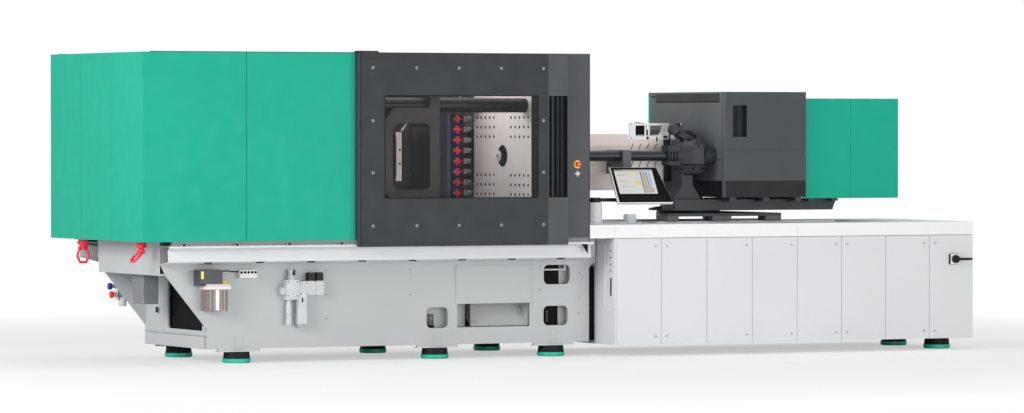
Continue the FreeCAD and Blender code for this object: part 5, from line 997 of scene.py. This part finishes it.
# hatch: dark plates behind its windows as painted shade of the inside, latch, hook and the catches on its top
# edge
hatch = dict(plateY=-194, windows=((845, 928), (935, 946)), z=(1582, 1668), latch=(949, 1572), topZ=1681)
plateY, top = hatch["plateY"], hatch["topZ"]
bm = bmesh.new()
for x0, x1 in hatch["windows"]:
    addBox(bm, x0, x1, -188, -184, *hatch["z"])
addLathed(bm, "y", hatch["latch"], [(plateY, 10), (-198, 10), (-199, 8)], 20)
addBox(bm, 1020, 1030, -199, plateY, 1548, 1580)
addBox(bm, 845, 884, -198, -184, top, top + 6)
addBox(bm, 884, 918, -198, -184, top, top + 4, 1)
addFrame(bm, 797, 1124, 1562, top, 7, -197, plateY, 2)
addBox(bm, 1136, 1214, -200, -196, 1494, 1562, 3)
addPrism(bm, [(1136, 1562), (1136, 1604), (1160, 1596), (1186, 1562)], "y", -200, -196, 2)
for x, z in ((812, 1674), (812, 1570), (1110, 1570)):
    addScrew(bm, "y", (x, z), -197, -1, 5, 1)
finishPiece("hatchTrim", bm, ["blackAndPaintedShade", "screwGrey", "plasticWhite", "screwGrey"], 1.0,
            body="unit_body")

# screws of the covers, flap and seams on the front end, catches
bm = bmesh.new()
for side in (-1, 1):
    y = side * 600
    for x in (1400, 2034):
        for z in (1290, 1450, 1520, 1880):
            addScrew(bm, "y", (x, z), y - side * 0.2, side, 6)
finishPiece("coverScrews", bm, ["plasticDark"], body="unit_body")
flap = dict(x=(1376.4, 1377.2), y=(-515, 480), z=(1834, 1841, 1898))
low, line, top = flap["z"]
bm = bmesh.new()
# black strip under the flap: painted shadow
addBox(bm, *flap["x"], *flap["y"], low, line)
addBox(bm, *flap["x"], *flap["y"], line, top, 1)
addBox(bm, *flap["x"], 480, 556, 1876, 1884)
addBox(bm, *flap["x"], -548, -330, 1412, 1415)
finishPiece("endFlap", bm, ["blackAndPaintedShade", "yokePaint"], body="unit_body")
bm = bmesh.new()
for side in (-1, 1):
    for z in (1180, 1500, 1820):
        addBox(bm, 2840, 2868, side * 545.5, side * 551.5, z - 6, z + 6)
finishPiece("driveCoverCatches", bm, ["greenPaint"], 1.5, body="unit_body")
print("injection unit detailed")

# floor, light and camera

net = Net("studioFloor")
fromCentre = net.add("ShaderNodeVectorMath")
fromCentre.operation = "LENGTH"
net.join(net.place, fromCentre.inputs[0])
glow = net.add("ShaderNodeEmission")
glow.inputs["Color"].default_value = (1, 1, 1, 1)
path = net.add("ShaderNodeLightPath")
far = net.spread(fromCentre.outputs["Value"], 0.5, 1.0, 4.0, 9.0)
seen = net.maths("MAXIMUM", path.outputs["Is Camera Ray"], path.outputs["Is Transmission Ray"])
blend = net.add("ShaderNodeMixShader")
net.join(net.maths("MULTIPLY", seen, far), blend.inputs[0])
net.tree.links.new(net.shader.outputs[0], blend.inputs[1])
net.tree.links.new(glow.outputs[0], blend.inputs[2])
net.tree.links.new(blend.outputs[0], net.tree.nodes["Material Output"].inputs[0])
tone = net.mixed(net.spread(net.noise(2.0, 3.0), 0.0, 1.0), (0.88, 0.88, 0.88), (0.91, 0.91, 0.91))
net.finish(Base_Color=tone, Roughness=0.9, Specular_IOR_Level=0.1)
bm = bmesh.new()
bmesh.ops.create_grid(bm, x_segments=8, y_segments=8, size=120)
mesh = bpy.data.meshes.new("studioFloor")
bm.to_mesh(mesh)
bm.free()
mesh.materials.append(net.mat)
floor = bpy.data.objects.new("studioFloor", mesh)
scene.collection.objects.link(floor)

world = bpy.data.worlds.new("studio")
scene.world = world
world.use_nodes = True
tree = world.node_tree
# full white for the rays that show the sky, dimmer for those that only light the scene
skyPath = tree.nodes.new("ShaderNodeLightPath")
shown = skyPath.outputs["Is Camera Ray"]
for ray in ("Is Glossy Ray", "Is Transmission Ray"):
    either = tree.nodes.new("ShaderNodeMath")
    either.operation = "MAXIMUM"
    tree.links.new(shown, either.inputs[0])
    tree.links.new(skyPath.outputs[ray], either.inputs[1])
    shown = either.outputs[0]
ambient = 0.42
level = tree.nodes.new("ShaderNodeMapRange")
level.inputs["To Min"].default_value = ambient
level.inputs["To Max"].default_value = 1.0
tree.links.new(shown, level.inputs["Value"])
sky = tree.nodes["Background"]
sky.inputs["Color"].default_value = (1, 1, 1, 1)
tree.links.new(level.outputs[0], sky.inputs["Strength"])


def softbox(name, place, target, size, power):
    light = bpy.data.lights.new(name, "AREA")
    light.shape = "RECTANGLE"
    light.size, light.size_y = size
    light.energy = power
    lamp = bpy.data.objects.new(name, light)
    lamp.location = place
    lamp.visible_camera = False
    lamp.rotation_euler = (Vector(target) - Vector(place)).to_track_quat("-Z", "Y").to_euler()
    scene.collection.objects.link(lamp)


softbox("keyLight", (-12.5, -4.5, 4.0), (-0.5, 0, 1.0), (6.0, 4.0), 900)
softbox("fillLight", (4.0, -13.0, 2.0), (0.5, 0, 1.0), (9.0, 3.0), 420)
softbox("topLight", (0.0, 0.5, 8.0), (0, 0, 1.0), (8.0, 5.0), 190)
softbox("lowLight", (-0.5, -8.0, 0.25), (-0.2, 0, 0.3), (9.0, 0.4), 110)
softbox("mouldLight", (-0.84, -0.1, 1.9), (-0.147, 0.0, 1.35), (0.1, 0.7), 6)

photo = dict(place=(-17.0096, -34.1270, 1.66), pitch=90 - 0.884, yaw=-26.4, lens=183.3)
lens = bpy.data.cameras.new("photoView")
lens.lens = photo["lens"]
lens.sensor_width = 36.0
lens.clip_end = 400.0
camera = bpy.data.objects.new("photoView", lens)
camera.location = photo["place"]
camera.rotation_euler = (math.radians(photo["pitch"]), 0, math.radians(photo["yaw"]))
scene.collection.objects.link(camera)
scene.camera = camera
scene.view_settings.view_transform = "Standard"
print("studio ready")
